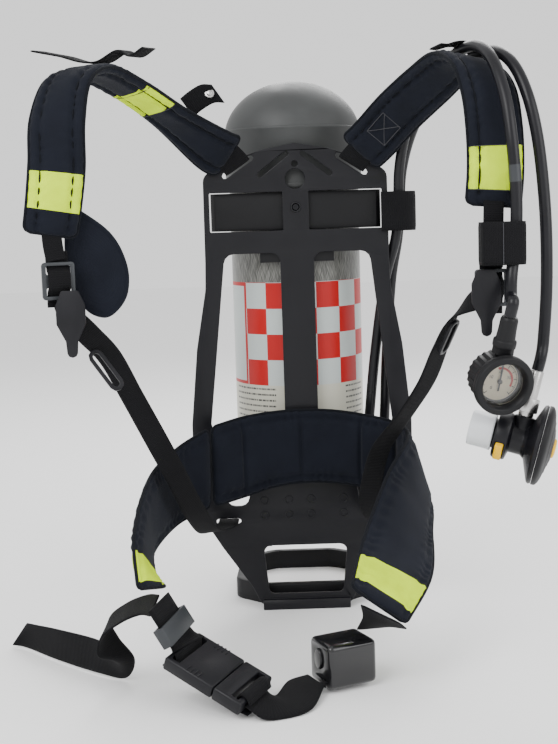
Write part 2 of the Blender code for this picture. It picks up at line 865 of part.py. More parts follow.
def gauge(parts, cutters):
    case_r = 0.0262
    stem_at = along_z(GAUGE_AT, gauge_stem_way())
    reach = (GAUGE_HOSE_END - GAUGE_AT).length
    profile = [
        (0.0, reach),
        (0.0078, reach),
        (0.0086, reach - 0.002),
        (0.0094, 0.0440),
        (0.0108, 0.0300),
        (0.0108, 0.0270),
        (0.0, 0.0270),
    ]
    turned("gauge_stem", profile, parts, black_rubber(), stem_at, 20)
    ribs = 24
    outline = []
    for k in range(96):
        angle = 2 * math.pi * k / 96
        reach = case_r - 0.0007 + 0.0007 * math.cos(ribs * angle)
        outline.append(Vector((reach * math.cos(angle), reach * math.sin(angle))))
    place = gauge_place()
    back = Matrix.Translation((0, 0, -0.0055))
    case = cut_sheet("gauge_case", [outline], 0.025, parts, black_rubber(), place @ back)
    well = drum("gauge_well_tool", 0.0215, -0.006, 0.03, cutters, None, place, 32)
    join(case, well, "DIFFERENCE")
    profile = [
        (0.0285, 0.0180),
        (0.0300, 0.0160),
        (0.0300, 0.0092),
        (0.0280, 0.0073),
        (0.0218, 0.0073),
        (0.0218, 0.0150),
        (0.0235, 0.0180),
    ]
    turned("gauge_bezel", profile, parts, black_rubber(), place, 32, closed=True)
    cream = material("dial_cream", (0.78, 0.72, 0.58), 0.60)
    drum("gauge_dial", 0.0212, 0.0, 0.0012, parts, cream, place, 32)
    ink = material("needle_black", (0.01, 0.01, 0.01), 0.5)
    middle = (0.0040, 0, 0.0030)
    needle = box("gauge_needle", (0.0270, 0.0016, 0.0010), parts, ink, place, middle=middle)
    hub = drum("needle_hub_tool", 0.0024, 0.0020, 0.0042, cutters, None, place, 14)
    join(needle, hub)
    glass = material("gauge_glass", (0.90, 0.92, 0.92), 0.05, alpha=0.25)
    drum("gauge_lens", 0.0211, 0.0085, 0.0100, parts, glass, place, 32)


# ---- demand valve ---------------------------------------------------------------------------
def demand_place():
    return along_z(VALVE_FLANGE_AT, VALVE_AXIS, (0, 0, 1))


def supply_place():
    """Local Z up the supply hose, from the middle of the demand valve's neck."""
    up = (VALVE_STEM_UP - VALVE_AXIS * VALVE_AXIS.dot(VALVE_STEM_UP)).normalized()
    return along_z(VALVE_FLANGE_AT - VALVE_AXIS * 0.0210, up, VALVE_AXIS)


def demand_valve(parts, cutters):
    place = demand_place()
    up = supply_place()
    profile = [
        (0.0, 0.0),
        (0.0400, 0.0),
        (0.0400, -0.0040),
        (0.0370, -0.0055),
        (0.0180, -0.0130),
        (0.0150, -0.0170),
        (0.0150, -0.0290),
        (0.0230, -0.0310),
        (0.0240, -0.0330),
        (0.0240, -0.0430),
        (0.0230, -0.0450),
        (0.0150, -0.0450),
        (0.0150, -0.0680),
        (0.0125, -0.0680),
        (0.0125, -0.0400),
        (0.0, -0.0400),
    ]
    body = turned("demand_valve_body", profile, parts, black_nylon(), place, 32)
    stub = drum("supply_stub_tool", 0.0100, 0.0, 0.0240, cutters, None, up, 20)
    join(body, stub)
    profile = [
        (0.0108, 0.0130),
        (0.0340, 0.0080),
        (0.0405, 0.0042),
        (0.0405, GAP),
        (0.0380, GAP),
        (0.0370, 0.0030),
        (0.0330, 0.0060),
        (0.0108, 0.0105),
    ]
    cover = material("cover_rubber", (0.025, 0.025, 0.027), 0.42)
    turned("demand_valve_cover", profile, parts, cover, place, 32, closed=True)
    profile = [(0.0, 0.0160), (0.0070, 0.0155), (0.0100, 0.0140), (0.0100, 0.0050), (0.0, 0.0050)]
    turned("purge_button", profile, parts, signal_yellow(), place, 24)
    milky = material("milky_cap", (0.85, 0.86, 0.88), 0.35, alpha=0.6)
    profile = [
        (0.0178, -0.0470),
        (0.0178, -0.0700),
        (0.0165, -0.0715),
        (0.0, -0.0715),
        (0.0, -0.0700),
        (0.0155, -0.0700),
        (0.0160, -0.0690),
        (0.0160, -0.0470),
    ]
    cap = turned("connector_cap", profile, parts, milky, place, closed=False)
    close_ring(cap)
    for name, way in (("release_button_lower", 1), ("release_button_upper", -1)):
        side = release_place(way)
        box(name, (0.0080, 0.0190, 0.0075), parts, signal_yellow(), side, 0.0012)
        pocket = box(
            name + "_pocket_tool", (0.0090, 0.0200, 0.0130), cutters, None, side
        )
        join(body, pocket, "DIFFERENCE")
    profile = [
        (0.0, 0.0710),
        (0.0070, 0.0710),
        (0.0070, 0.0420),
        (0.0076, 0.0410),
        (0.0076, 0.0240 + GAP),
        (0.0, 0.0240 + GAP),
    ]
    turned("coupling_plug", profile, parts, steel(), up, 20)
    ring("coupling_sleeve", 0.0088, 0.0104, 0.0290, 0.0430, parts, steel(), up, 20)


def close_ring(cap):
    """Joins the profile's two ends, so that its rim is closed."""
    bm = bmesh.new()
    bm.from_mesh(cap.data)
    bm.verts.ensure_lookup_table()
    bm.edges.new((bm.verts[len(bm.verts) - 1], bm.verts[0]))
    bm.edges.ensure_lookup_table()
    axis = [e for e in bm.edges if all(v.co.x == 0.0 for v in e.verts)]
    bmesh.ops.delete(bm, geom=axis, context="EDGES")
    bm.to_mesh(cap.data)
    bm.free()


def release_place(way):
    """Local X along the valve's axis, local Z outwards at one release button."""
    out = Vector((-0.20, -0.80, -0.56)) * way
    out = (out - VALVE_AXIS * VALVE_AXIS.dot(out)).normalized()
    middle = VALVE_FLANGE_AT - VALVE_AXIS * 0.0380 + out * 0.0235
    return frame_at(middle, VALVE_AXIS, out)


# ---- shoulder harness -----------------------------------------------------------------------
ANCHOR_ROUTE = (
    Vector((0.0800, -0.0150, 0.5390)),
    Vector((0.0700, -0.0070, 0.5290)),
    Vector((0.0656, -0.0010, 0.5236)),
    Vector((0.0653, 0.0060, 0.5230)),
    Vector((0.0660, 0.0110, 0.5240)),
)


def shoulder_pad(parts, cutters, name, middle, sides, anchor, anchor_side, end, end_side):
    """Padded strap with the webbing sewn into both of its ends."""
    one, other = edges_of(middle, sides, 0.0265)
    pad = strip(name, one, other, PAD_T, parts, pad_cloth(), 19, 2, bevel=0.0035)
    one, other = edges_of(anchor, [anchor_side] * len(anchor), 0.0165)
    join(pad, strip(name + "_anchor_tool", one, other, WEB_T, cutters, None, 9))
    one, other = edges_of(end, [end_side] * len(end), 0.0100)
    join(pad, strip(name + "_end_tool", one, other, WEB_T, cutters, None, 7))


def shoulder_pads(parts, cutters):
    shoulder_pad(
        parts,
        cutters,
        "shoulder_pad_left",
        PAD_LEFT,
        PAD_LEFT_SIDE,
        ANCHOR_ROUTE,
        (0.836, 0.0, -0.549),
        [(0.1912, -0.2150, 0.4780), (0.1900, -0.2188, 0.4600), (0.1885, -0.2205, 0.4095)],
        (1, 0, 0),
    )
    shoulder_pad(
        parts,
        cutters,
        "shoulder_pad_right",
        PAD_RIGHT,
        PAD_RIGHT_SIDE,
        mirrored(ANCHOR_ROUTE),
        (-0.836, 0.0, -0.549),
        [(-0.2440, -0.2208, 0.4620), (-0.2430, -0.2212, 0.4450), (-0.2405, -0.2212, 0.4295)],
        (-0.9, -0.43, 0),
    )


def adjuster_parts(parts, name, at, wide, tab_at, tab_top):
    """Ladder-lock frame and the stiff tab that is pulled or lifted on it."""
    frame = frame_at(at, wide, (0, -1, 0))
    outer = soft_rectangle(0.0165, -0.0185, 0.0185, 0.003, 2)
    windows = [
        soft_rectangle(0.0125, low, high, 0.001, 1)
        for low, high in ((-0.0150, -0.0065), (0.0065, 0.0150))
    ]
    grey = material("adjuster_grey", (0.06, 0.065, 0.07), 0.40)
    cut_sheet("strap_adjuster_" + name, [outer, *windows], 0.0045, parts, grey, frame)
    tab = [
        (-0.0085, 0.0, 0.002),
        (0.0085, 0.0, 0.002),
        (0.0145, -0.0140, 0.004),
        (0.0145, -0.0330, 0.004),
        (0.0060, -0.0500, 0.003),
        (0.0048, -0.0660, 0.0045),
        (-0.0048, -0.0660, 0.0045),
        (-0.0060, -0.0500, 0.003),
        (-0.0145, -0.0330, 0.004),
        (-0.0145, -0.0140, 0.004),
    ]
    hang = Matrix.Translation((tab_at[0], tab_at[1], tab_top)) @ Matrix.Rotation(
        math.pi / 2, 4, "X"
    )
    made = cut_sheet("grip_tab_" + name, [rounded(tab, 2)], 0.0028, parts, black_nylon(), hang)
    origin_at(made, hang @ Vector((0, -0.0008, 0)))


def adjusters(parts):
    adjuster_parts(parts, "left", (0.1870, -0.2205, 0.3895), (1, 0, 0), (0.1810, -0.2260), 0.4080)
    adjuster_parts(
        parts, "right", (-0.2392, -0.2205, 0.4095), (1, 0.45, 0), (-0.2275, -0.2290), 0.4000
    )


def lower_webbing(parts):
    left = [
        (0.1860, -0.2152, 0.3800),
        (0.1700, -0.2090, 0.3760),
        (0.1540, -0.1880, 0.3600),
        (0.1440, -0.1600, 0.3270),
        (0.1320, -0.1270, 0.2850),
        (0.1095, -0.0985, 0.2430),
        (0.0870, -0.0755, 0.2060),
        (0.0780, -0.0560, 0.1700),
        (0.0740, -0.0420, 0.1380),
        (0.0800, -0.0260, 0.1180),
        (0.0890, -0.0060, 0.1085),
        (0.0900, 0.0120, 0.1080),
    ]
    left_side = [
        (0.10, 0.00, 1.00),
        (0.30, 0.35, 0.88),
        (0.62, 0.45, 0.55),
        (0.80, 0.30, 0.40),
        (0.88, 0.15, 0.40),
        (0.88, 0.10, 0.42),
        (0.90, 0.05, 0.30),
        (0.97, 0.05, 0.15),
        (1.00, 0.00, 0.05),
        (1.00, 0.00, 0.00),
        (1.00, 0.00, 0.00),
        (1.00, 0.00, 0.00),
    ]
    one, other = edges_of(left, left_side, 0.0120)
    strip("lower_webbing_left", one, other, WEB_T, parts, webbing_black(), 34)
    right = [
        (-0.2345, -0.2200, 0.3895),
        (-0.2290, -0.2185, 0.3740),
        (-0.2140, -0.2060, 0.3540),
        (-0.1965, -0.1850, 0.3280),
        (-0.1790, -0.1630, 0.2850),
        (-0.1580, -0.1560, 0.2400),
        (-0.1380, -0.1450, 0.1950),
        (-0.1230, -0.1130, 0.1500),
        (-0.1100, -0.0680, 0.1150),
        (-0.0960, -0.0260, 0.1070),
        (-0.0905, -0.0060, 0.1080),
        (-0.0900, 0.0120, 0.1080),
    ]
    right_side = [
        (-0.80, 0.10, -0.60),
        (-0.75, 0.10, -0.65),
        (-0.62, 0.10, -0.75),
        (-0.75, 0.10, -0.60),
        (-0.88, 0.10, -0.42),
        (-0.90, -0.05, -0.38),
        (-0.85, -0.30, -0.35),
        (-0.88, -0.25, -0.25),
        (-0.98, -0.05, -0.12),
        (-1.00, 0.00, 0.00),
        (-1.00, 0.00, 0.00),
        (-1.00, 0.00, 0.00),
    ]
    one, other = edges_of(right, right_side, 0.0120)
    strip("lower_webbing_right", one, other, WEB_T, parts, webbing_black(), 34)


def pull_rings(parts):
    """Moulded pull loops that hang under the lower webbing."""
    outer = slot(0, 0, 0.0250, 0.0150, math.pi / 2, 4)
    inner = slot(0, 0, 0.0205, 0.0070, math.pi / 2, 4)
    left = ((0.1505, -0.1735, 0.3370), (0.731, 0.614, 0.299), (-0.225, 0.631, -0.743))
    right = ((-0.1985, -0.2060, 0.3180), (0.80, 0.30, 0.52), (-0.5, 0.2, 0.8))
    for name, (at, wide, hint), hung in (
        ("pull_ring_left", left, -0.0228),
        ("pull_ring_right", right, 0.0228),
    ):
        place = frame_at(at, wide, Vector(wide).cross(Vector(hint)))
        made = cut_sheet(name, [outer, inner], 0.0036, parts, black_nylon(), place)
        origin_at(made, place @ Vector((0, hung, 0)))


def hose_keepers(parts):
    """Webbing loops that hold the hoses to the plate, the strap and its lower end."""
    loop = [
        (0.0980, -0.0030),
        (0.1120, -0.0055),
        (0.1290, -0.0050),
        (0.1375, 0.0050),
        (0.1370, 0.0220),
        (0.1310, 0.0330),
        (0.1180, 0.0350),
        (0.1105, 0.0250),
        (0.1095, 0.0110),
    ]
    low, high = 0.4450, 0.4900
    strip(
        "hose_keeper_plate",
        [(x, y, high) for x, y in loop],
        [(x, y, low) for x, y in loop],
        WEB_T,
        parts,
        webbing_black(),
        25,
    )
    outer = rounded(
        [
            (0.1755, -0.2385, 0.004),
            (0.2195, -0.2385, 0.007),
            (0.2195, -0.2150, 0.006),
            (0.1755, -0.2150, 0.004),
        ]
    )
    inner = rounded(
        [
            (0.1773, -0.2367, 0.003),
            (0.2177, -0.2367, 0.0055),
            (0.2177, -0.2168, 0.0045),
            (0.1773, -0.2168, 0.003),
        ]
    )
    place = Matrix.Translation((0, 0, 0.4330))
    cut_sheet("hose_keeper_front", [outer, inner], 0.0420, parts, webbing_black(), place)
    at = Vector((0.1660, -0.1200, 0.6175))
    run = Vector((0.44, -0.89, 0.13)).normalized()
    wide = Vector((0.84, 0.36, -0.40))
    wide = (wide - run * run.dot(wide)).normalized()
    out = run.cross(wide)
    arch = [
        (-0.0250, 0.0085),
        (-0.0170, 0.0120),
        (-0.0075, 0.0195),
        (0.0040, 0.0245),
        (0.0200, 0.0245),
        (0.0300, 0.0190),
        (0.0345, 0.0110),
        (0.0320, 0.0020),
    ]
    path = [at + wide * a + out * b for a, b in arch]
    strip(
        "hose_keeper_top",
        [p + run * 0.0115 for p in path],
        [p - run * 0.0115 for p in path],
        WEB_T,
        parts,
        webbing_black(),
        17,
    )


def strap_flaps(parts):
    """Open hook-and-loop flap and the press-stud tab of the wearer's right strap."""
    path = [
        (-0.2560, -0.1680, 0.6370),
        (-0.2300, -0.1600, 0.6320),
        (-0.2120, -0.1500, 0.6275),
        (-0.1950, -0.1400, 0.6285),
        (-0.1760, -0.1300, 0.6400),
        (-0.1640, -0.1240, 0.6350),
        (-0.1500, -0.1180, 0.6440),
    ]
    half = Vector((0.35, 0.85, 0.05)).normalized() * 0.0150
    strip(
        "strap_flap",
        [Vector(p) + half for p in path],
        [Vector(p) - half for p in path],
        WEB_T,
        parts,
        webbing_black(),
        19,
    )
    path = [
        (-0.1180, -0.0400, 0.5880),
        (-0.1080, -0.0370, 0.5960),
        (-0.0950, -0.0350, 0.6030),
        (-0.0830, -0.0330, 0.6030),
    ]
    half = Vector((0.55, 0.25, -0.80)).normalized() * 0.0125
    strip(
        "snap_tab",
        [Vector(p) + half for p in path],
        [Vector(p) - half for p in path],
        WEB_T,
        parts,
        webbing_black(),
        9,
    )


def side_pouch(parts):
    """Soft D-shaped panel behind the lower end of the wearer's right strap."""
    outline = [
        (-0.2290, 0.4860),
        (-0.1900, 0.4560),
        (-0.1740, 0.4240),
        (-0.1740, 0.3950),
        (-0.1860, 0.3760),
        (-0.2010, 0.3700),
        (-0.2200, 0.3820),
        (-0.2340, 0.4200),
        (-0.2350, 0.4550),
    ]
    closed = [(x, 0.0, z) for x, z in (*outline, outline[0])]
    flat = [Vector((p.x, p.z)) for p in smooth_path(closed, 28)[:-1]]
    upright = Matrix.Translation((0, -0.1965, 0)) @ Matrix.Rotation(math.pi / 2, 4, "X")
    cut_sheet("side_panel", [flat], 0.0080, parts, pad_cloth(), upright)


# ---- waist harness --------------------------------------------------------------------------
def lumbar_pad(parts):
    upper = [
        (-0.1040, -0.0440, 0.2290),
        (-0.0700, -0.0220, 0.2352),
        (-0.0350, -0.0130, 0.2390),
        (0.0, -0.0110, 0.2403),
        (0.0350, -0.0130, 0.2390),
        (0.0700, -0.0220, 0.2345),
        (0.1040, -0.0440, 0.2294),
    ]
    lower = [
        (-0.1040, -0.0460, 0.1385),
        (-0.0690, -0.0240, 0.1440),
        (-0.0350, -0.0130, 0.1520),
        (0.0, -0.0110, 0.1560),
        (0.0350, -0.0130, 0.1550),
        (0.0690, -0.0240, 0.1510),
        (0.1040, -0.0460, 0.1440),
    ]
    strip("lumbar_pad", upper, lower, 0.0140, parts, pad_cloth(), 19, 2, bevel=0.0035)


def hip_pads(parts):
    left_upper = [
        (0.1075, -0.0480, 0.2290),
        (0.1150, -0.0920, 0.2200),
        (0.0860, -0.1500, 0.1880),
        (0.0550, -0.2200, 0.1380),
        (0.0380, -0.2900, 0.1110),
    ]
    left_lower = [
        (0.1090, -0.0490, 0.1420),
        (0.1380, -0.0850, 0.1400),
        (0.1330, -0.1450, 0.1250),
        (0.1230, -0.2150, 0.0970),
        (0.0900, -0.2810, 0.0700),
    ]
    right_upper = [
        (-0.1075, -0.0480, 0.2280),
        (-0.1420, -0.0850, 0.2120),
        (-0.1660, -0.1500, 0.1940),
        (-0.1740, -0.2400, 0.1580),
        (-0.1660, -0.2980, 0.1180),
    ]
    right_lower = [
        (-0.1090, -0.0500, 0.1380),
        (-0.1440, -0.0850, 0.1280),
        (-0.1660, -0.1450, 0.1120),
        (-0.1600, -0.2000, 0.1000),
        (-0.1440, -0.2520, 0.1060),
    ]
    strip("hip_pad_left", left_upper, left_lower, 0.0120, parts, pad_cloth(), 17, 2, bevel=0.003)
    strip(
        "hip_pad_right", right_upper, right_lower, 0.0120, parts, pad_cloth(), 17, 2, bevel=0.003
    )


def buckle_place():
    one, other = BUCKLE_ENDS
    return frame_at((one + other) / 2, other - one, BUCKLE_UP)


def keeper_place():
    return frame_at((-0.1345, -0.2790, 0.0735), (0.50, -0.06, -0.86), (0.72, -0.35, 0.55))


def waist_webbing(parts):
    """Webbing from the wearer's right hip pad, through the keeper, to the buckle."""
    down = keeper_place().to_3x3() @ Vector((1, 0, 0))
    wide = keeper_place().to_3x3() @ Vector((0, 1, 0))
    keeper = keeper_place().translation
    slot_at = buckle_place() @ Vector((-0.0380, 0, 0.0108))
    buckle_wide = buckle_place().to_3x3() @ Vector((0, 1, 0))
    start = keeper - down * 0.0290
    middle = [start, keeper - down * 0.012, keeper + down * 0.0130, slot_at]
    one, other = edges_of(middle, [wide, wide, wide, buckle_wide], 0.0225)
    strip("waist_webbing_right", one, other, WEB_T, parts, webbing_black(), 10)
    middle = [(0.0650, -0.2920, 0.0840), (0.0700, -0.2760, 0.0700), (0.0660, -0.2500, 0.0570)]
    sides = [(0.75, 0.14, -0.65), (0.70, 0.45, -0.55), (0.45, 0.80, -0.35)]
    one, other = edges_of(middle, sides, 0.0220)
    strip("waist_webbing_left", one, other, WEB_T, parts, webbing_black(), 8)


def webbing_keeper(parts):
    outer = soft_rectangle(0.0275, -0.0060, 0.0060, 0.002, 2)
    inner = soft_rectangle(0.0248, -0.0034, 0.0034, 0.001, 1)
    base = keeper_place()
    x, y, z = (base.to_3x3() @ Vector(v) for v in ((1, 0, 0), (0, 1, 0), (0, 0, 1)))
    turned_place = Matrix((y, z, x)).transposed().to_4x4()
    turned_place.translation = base.translation
    grey = material("keeper_grey", (0.07, 0.07, 0.075), 0.45)
    cut_sheet("webbing_keeper", [outer, inner], 0.0200, parts, grey, turned_place)


def webbing_tail(parts):
    """Loose end of the waist webbing, curled down onto the floor."""
    upper = [
        (-0.1500, -0.2560, 0.0990),
        (-0.1640, -0.2350, 0.0930),
        (-0.1850, -0.2300, 0.0840),
        (-0.2030, -0.2330, 0.0700),
        (-0.1950, -0.2360, 0.0500),
        (-0.1800, -0.2350, 0.0270),
        (-0.1900, -0.2250, 0.0040),
        (-0.2184, -0.2090, 0.0030),
        (-0.2685, -0.1644, 0.0025),
        (-0.3120, -0.1200, 0.0025),
        (-0.3300, -0.1105, 0.0025),
    ]
    lower = [
        (-0.1560, -0.2950, 0.0900),
        (-0.1680, -0.2780, 0.0860),
        (-0.1860, -0.2740, 0.0780),
        (-0.2060, -0.2740, 0.0640),
        (-0.2120, -0.2730, 0.0480),
        (-0.2080, -0.2640, 0.0380),
        (-0.2050, -0.2380, 0.0370),
        (-0.2210, -0.2030, 0.0370),
        (-0.2680, -0.1600, 0.0350),
        (-0.2990, -0.1290, 0.0310),
        (-0.3120, -0.1120, 0.0280),
    ]
    strip("webbing_tail", upper, lower, WEB_T, parts, webbing_black(), 40, 2)


def buckle(parts, cutters):
    """Side-release buckle; both halves are built along local X."""
    place = buckle_place()
    half_w, half_t = 0.0290, 0.0072
    socket_end = 0.0120
    female = box(
        "buckle_female",
        (0.0570, 2 * half_w, 2 * half_t),
        parts,
        black_nylon(),
        place,
        0.0022,
        middle=(socket_end - 0.0285, 0, 0),
    )
    socket = box(
        "buckle_socket_tool",
        (0.0360, 0.0440, 0.0084),
        cutters,
        None,
        place,
        middle=(socket_end - 0.0160, 0, 0),
    )
    join(female, socket, "DIFFERENCE")
    slot_tool = box(
        "female_slot_tool", (0.0090, 0.0480, 0.05), cutters, None, place, middle=(-0.0350, 0, 0)
    )
    join(female, slot_tool, "DIFFERENCE")
    male = box(
        "buckle_male",
        (0.0320, 2 * half_w, 2 * half_t),
        parts,
        black_nylon(),
        place,
        0.0022,
        middle=(socket_end + GAP + 0.0160, 0, 0),
    )
    for name, y, w in (("near", -0.0170, 0.0080), ("far", 0.0170, 0.0080), ("mid", 0.0, 0.0090)):
        tongue = box(
            f"tongue_{name}_tool",
            (0.0340, w, 0.0070),
            cutters,
            None,
            place,
            middle=(0.0010, y, 0),
        )
        join(male, tongue)
    slot_tool = box(
        "male_slot_tool", (0.0080, 0.0480, 0.05), cutters, None, place, middle=(0.0345, 0, 0)
    )
    join(male, slot_tool, "DIFFERENCE")


def adjuster_place():
    return Matrix.Translation(ADJUSTER_AT) @ Matrix.Rotation(ADJUSTER_YAW, 4, "Z")


def link_webbing(parts):
    """Webbing from the buckle's tongue half to the belt adjuster."""
    out = buckle_place()
    end = adjuster_place()
    far = out @ Vector((0.0448, 0, 0))
    middle = [
        far,
        out @ Vector((0.0580, 0, -0.0010)),
        Vector((-0.0220, -0.3120, 0.0060)),
        end @ Vector((-0.0420, 0, -0.0175)),
        end @ Vector((-0.0305, 0, -0.0175)),
    ]
    wide = out.to_3x3() @ Vector((0, 1, 0))
    last = end.to_3x3() @ Vector((0, 1, 0))
    sides = [wide, wide, wide.lerp(last, 0.5), last, last]
    one, other = edges_of(middle, sides, 0.0200)
    strip("waist_webbing_middle", one, other, WEB_T, parts, webbing_black(), 14)


def belt_adjuster(parts, cutters):
    """Housing that takes up the belt, with a push button on its end."""
    place = adjuster_place()
    glossy = material("housing_gloss", (0.020, 0.020, 0.022), 0.18)
    body = box("belt_adjuster_body", (0.0540, 0.0440, 0.0450), parts, glossy, place, 0.0060, 3)
    pocket_at = place @ Matrix.Translation((-0.0270, 0, 0.0050)) @ Matrix.Rotation(math.pi / 2, 4, "Y")
    oval = [Vector((p.x, p.y * 0.72)) for p in circle(0, 0, 0.0105, 20)]
    pocket = cut_sheet("adjuster_pocket_tool", [oval], 0.0120, cutters, None, pocket_at)
    join(body, pocket, "DIFFERENCE")
    oval = [Vector((p.x, p.y * 0.71)) for p in circle(0, 0, 0.0100, 20)]
    button_at = place @ Matrix.Translation((-0.0260, 0, 0.0050)) @ Matrix.Rotation(math.pi / 2, 4, "Y")
    cut_sheet("belt_adjuster_button", [oval], 0.0060, parts, glossy, button_at)


def build():
    clear_scene()
    parts = new_collection("air_pack")
    cutters = new_collection("cutters")
    cutters.hide_render = True
    backplate(parts, cutters)
    base_bumper(parts)
    cylinder_cradle(parts, cutters)
    reducer_bracket(parts, cutters)
    cylinder_shell(parts)
    cylinder_boot(parts)
    cylinder_band(parts)
    band_cam(parts, cutters)
    cylinder_valve(parts, cutters)
    reducer(parts, cutters)
    hoses(parts)
    gauge(parts, cutters)
    demand_valve(parts, cutters)
    shoulder_pads(parts, cutters)
    adjusters(parts)
    lower_webbing(parts)
    pull_rings(parts)
    hose_keepers(parts)
    strap_flaps(parts)
    side_pouch(parts)
    lumbar_pad(parts)
    hip_pads(parts)
    waist_webbing(parts)
    webbing_keeper(parts)
    webbing_tail(parts)
    buckle(parts, cutters)
    link_webbing(parts)
    belt_adjuster(parts, cutters)


build()
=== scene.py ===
import json
import math

import bmesh
import bpy
from mathutils import Matrix, Vector, noise

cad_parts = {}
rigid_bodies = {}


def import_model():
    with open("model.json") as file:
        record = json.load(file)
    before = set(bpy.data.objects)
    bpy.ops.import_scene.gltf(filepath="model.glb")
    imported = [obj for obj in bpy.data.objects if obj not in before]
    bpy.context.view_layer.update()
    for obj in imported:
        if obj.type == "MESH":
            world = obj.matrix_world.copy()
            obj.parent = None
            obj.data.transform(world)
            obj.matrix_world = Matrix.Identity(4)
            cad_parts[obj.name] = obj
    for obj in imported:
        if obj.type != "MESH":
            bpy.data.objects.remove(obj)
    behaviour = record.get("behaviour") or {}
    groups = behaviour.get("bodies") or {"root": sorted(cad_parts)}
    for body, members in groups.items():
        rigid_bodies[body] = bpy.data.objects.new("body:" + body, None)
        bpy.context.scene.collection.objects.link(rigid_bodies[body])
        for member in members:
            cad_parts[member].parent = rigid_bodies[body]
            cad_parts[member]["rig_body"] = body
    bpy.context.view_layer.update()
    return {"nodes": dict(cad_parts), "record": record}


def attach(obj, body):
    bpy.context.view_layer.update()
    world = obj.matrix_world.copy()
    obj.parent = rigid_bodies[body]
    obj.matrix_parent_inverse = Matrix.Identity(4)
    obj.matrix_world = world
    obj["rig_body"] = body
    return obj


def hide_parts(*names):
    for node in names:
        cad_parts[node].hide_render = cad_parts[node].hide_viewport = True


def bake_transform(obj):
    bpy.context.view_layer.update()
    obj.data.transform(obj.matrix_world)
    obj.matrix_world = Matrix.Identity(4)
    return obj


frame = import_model()
nodes = frame["nodes"]
record = frame["record"]
slot_of_node = {part["node"]: part["material_slot"] for part in record["subparts"]}
scene = bpy.context.scene

# ---- camera --------------------------------------------------------------------------------------
lens = bpy.data.cameras.new("camera")
lens.lens = 61.3
lens.sensor_width = 36.0
camera = bpy.data.objects.new("camera", lens)
scene.collection.objects.link(camera)
camera.matrix_world = (
    Matrix.Translation((-0.0251, -1.47, 0.468))
    @ Matrix.Rotation(math.radians(82.9), 4, "X")
    @ Matrix.Rotation(math.radians(-1.8), 4, "Z")
)
scene.camera = camera

# ---- sizes and runs, in metres; the wearer's left is +X ------------------------------------------
CYL_R = 0.0785
CYL_Y = 0.092
VALVE_Z = 0.077
PAD_T = 0.013
WEB_T = 0.002
HOSE_D = 0.012
PAD_LEFT = (
    (0.0745, -0.01, 0.5345), (0.09, -0.024, 0.5485), (0.115, -0.05, 0.575),
    (0.1446, -0.085, 0.601), (0.166, -0.12, 0.6175), (0.182, -0.16, 0.612),
    (0.191, -0.19, 0.584), (0.194, -0.205, 0.545), (0.194, -0.21, 0.505),
    (0.191, -0.212, 0.47),
)
PAD_LEFT_SIDE = (
    (0.84, 0, -0.55), (0.82, 0.03, -0.57), (0.8, 0.05, -0.6),
    (0.85, 0.1, -0.5), (0.92, 0.12, -0.35), (0.96, 0.1, -0.2),
    (1, 0.05, -0.05), (1, 0, 0), (1, 0, 0),
    (1, 0, 0),
)
PAD_RIGHT = (
    (-0.0745, -0.01, 0.5345), (-0.092, -0.022, 0.543), (-0.1354, -0.06, 0.577),
    (-0.1735, -0.1, 0.604), (-0.205, -0.145, 0.618), (-0.226, -0.18, 0.607),
    (-0.235, -0.205, 0.566), (-0.236, -0.215, 0.522), (-0.24, -0.22, 0.485),
    (-0.245, -0.221, 0.455),
)
PAD_RIGHT_SIDE = (
    (-0.84, 0, -0.55), (-0.82, 0.12, -0.48), (-0.74, 0.58, -0.18),
    (-0.76, 0.6, -0.12), (-0.86, 0.48, -0.1), (-0.94, 0.3, -0.05),
    (-0.98, 0.05, 0), (-0.95, -0.25, 0), (-0.92, -0.38, 0),
    (-0.9, -0.43, 0),
)
GAUGE_HOSE_ROUTE = (
    (0.071, 0.052, 0.14), (0.076, 0.033, 0.175), (0.081, 0.024, 0.225),
    (0.089, 0.02, 0.3), (0.102, 0.017, 0.385), (0.115, 0.01, 0.435),
    (0.1185, 0.006, 0.47), (0.12, 0, 0.515), (0.1265, -0.02, 0.555),
    (0.14, -0.048, 0.592), (0.156, -0.08, 0.617), (0.1737, -0.1145, 0.631),
    (0.187, -0.155, 0.631), (0.196, -0.19, 0.612), (0.203, -0.2155, 0.575),
    (0.207, -0.2265, 0.535), (0.21, -0.228, 0.495), (0.211, -0.2275, 0.462),
    (0.2095, -0.2275, 0.432), (0.205, -0.232, 0.403), (0.2015, -0.246, 0.383),
)
SUPPLY_HOSE_ROUTE = (
    (0.0905, 0.056, 0.135), (0.096, 0.038, 0.17), (0.1, 0.033, 0.225),
    (0.104, 0.033, 0.3), (0.111, 0.032, 0.385), (0.119, 0.0255, 0.435),
    (0.1215, 0.0215, 0.47), (0.1245, 0.014, 0.515), (0.1345, -0.007, 0.556),
    (0.151, -0.039, 0.59), (0.1675, -0.073, 0.613), (0.1875, -0.1075, 0.6235),
    (0.2025, -0.149, 0.6265), (0.2155, -0.1825, 0.611), (0.2265, -0.203, 0.579),
    (0.235, -0.212, 0.535), (0.2405, -0.215, 0.48), (0.2425, -0.216, 0.43),
    (0.242, -0.216, 0.38), (0.239, -0.2155, 0.335),
)
ANCHOR_ROUTE = (
    (0.08, -0.015, 0.539), (0.07, -0.007, 0.529), (0.0656, -0.001, 0.5236),
    (0.0653, 0.006, 0.523), (0.066, 0.011, 0.524),
)
LOWER_LEFT = (
    (0.186, -0.2152, 0.38), (0.17, -0.209, 0.376), (0.154, -0.188, 0.36),
    (0.144, -0.16, 0.327), (0.132, -0.127, 0.285), (0.1095, -0.0985, 0.243),
    (0.087, -0.0755, 0.206), (0.078, -0.056, 0.17), (0.074, -0.042, 0.138),
    (0.08, -0.026, 0.118), (0.089, -0.006, 0.1085), (0.09, 0.012, 0.108),
)
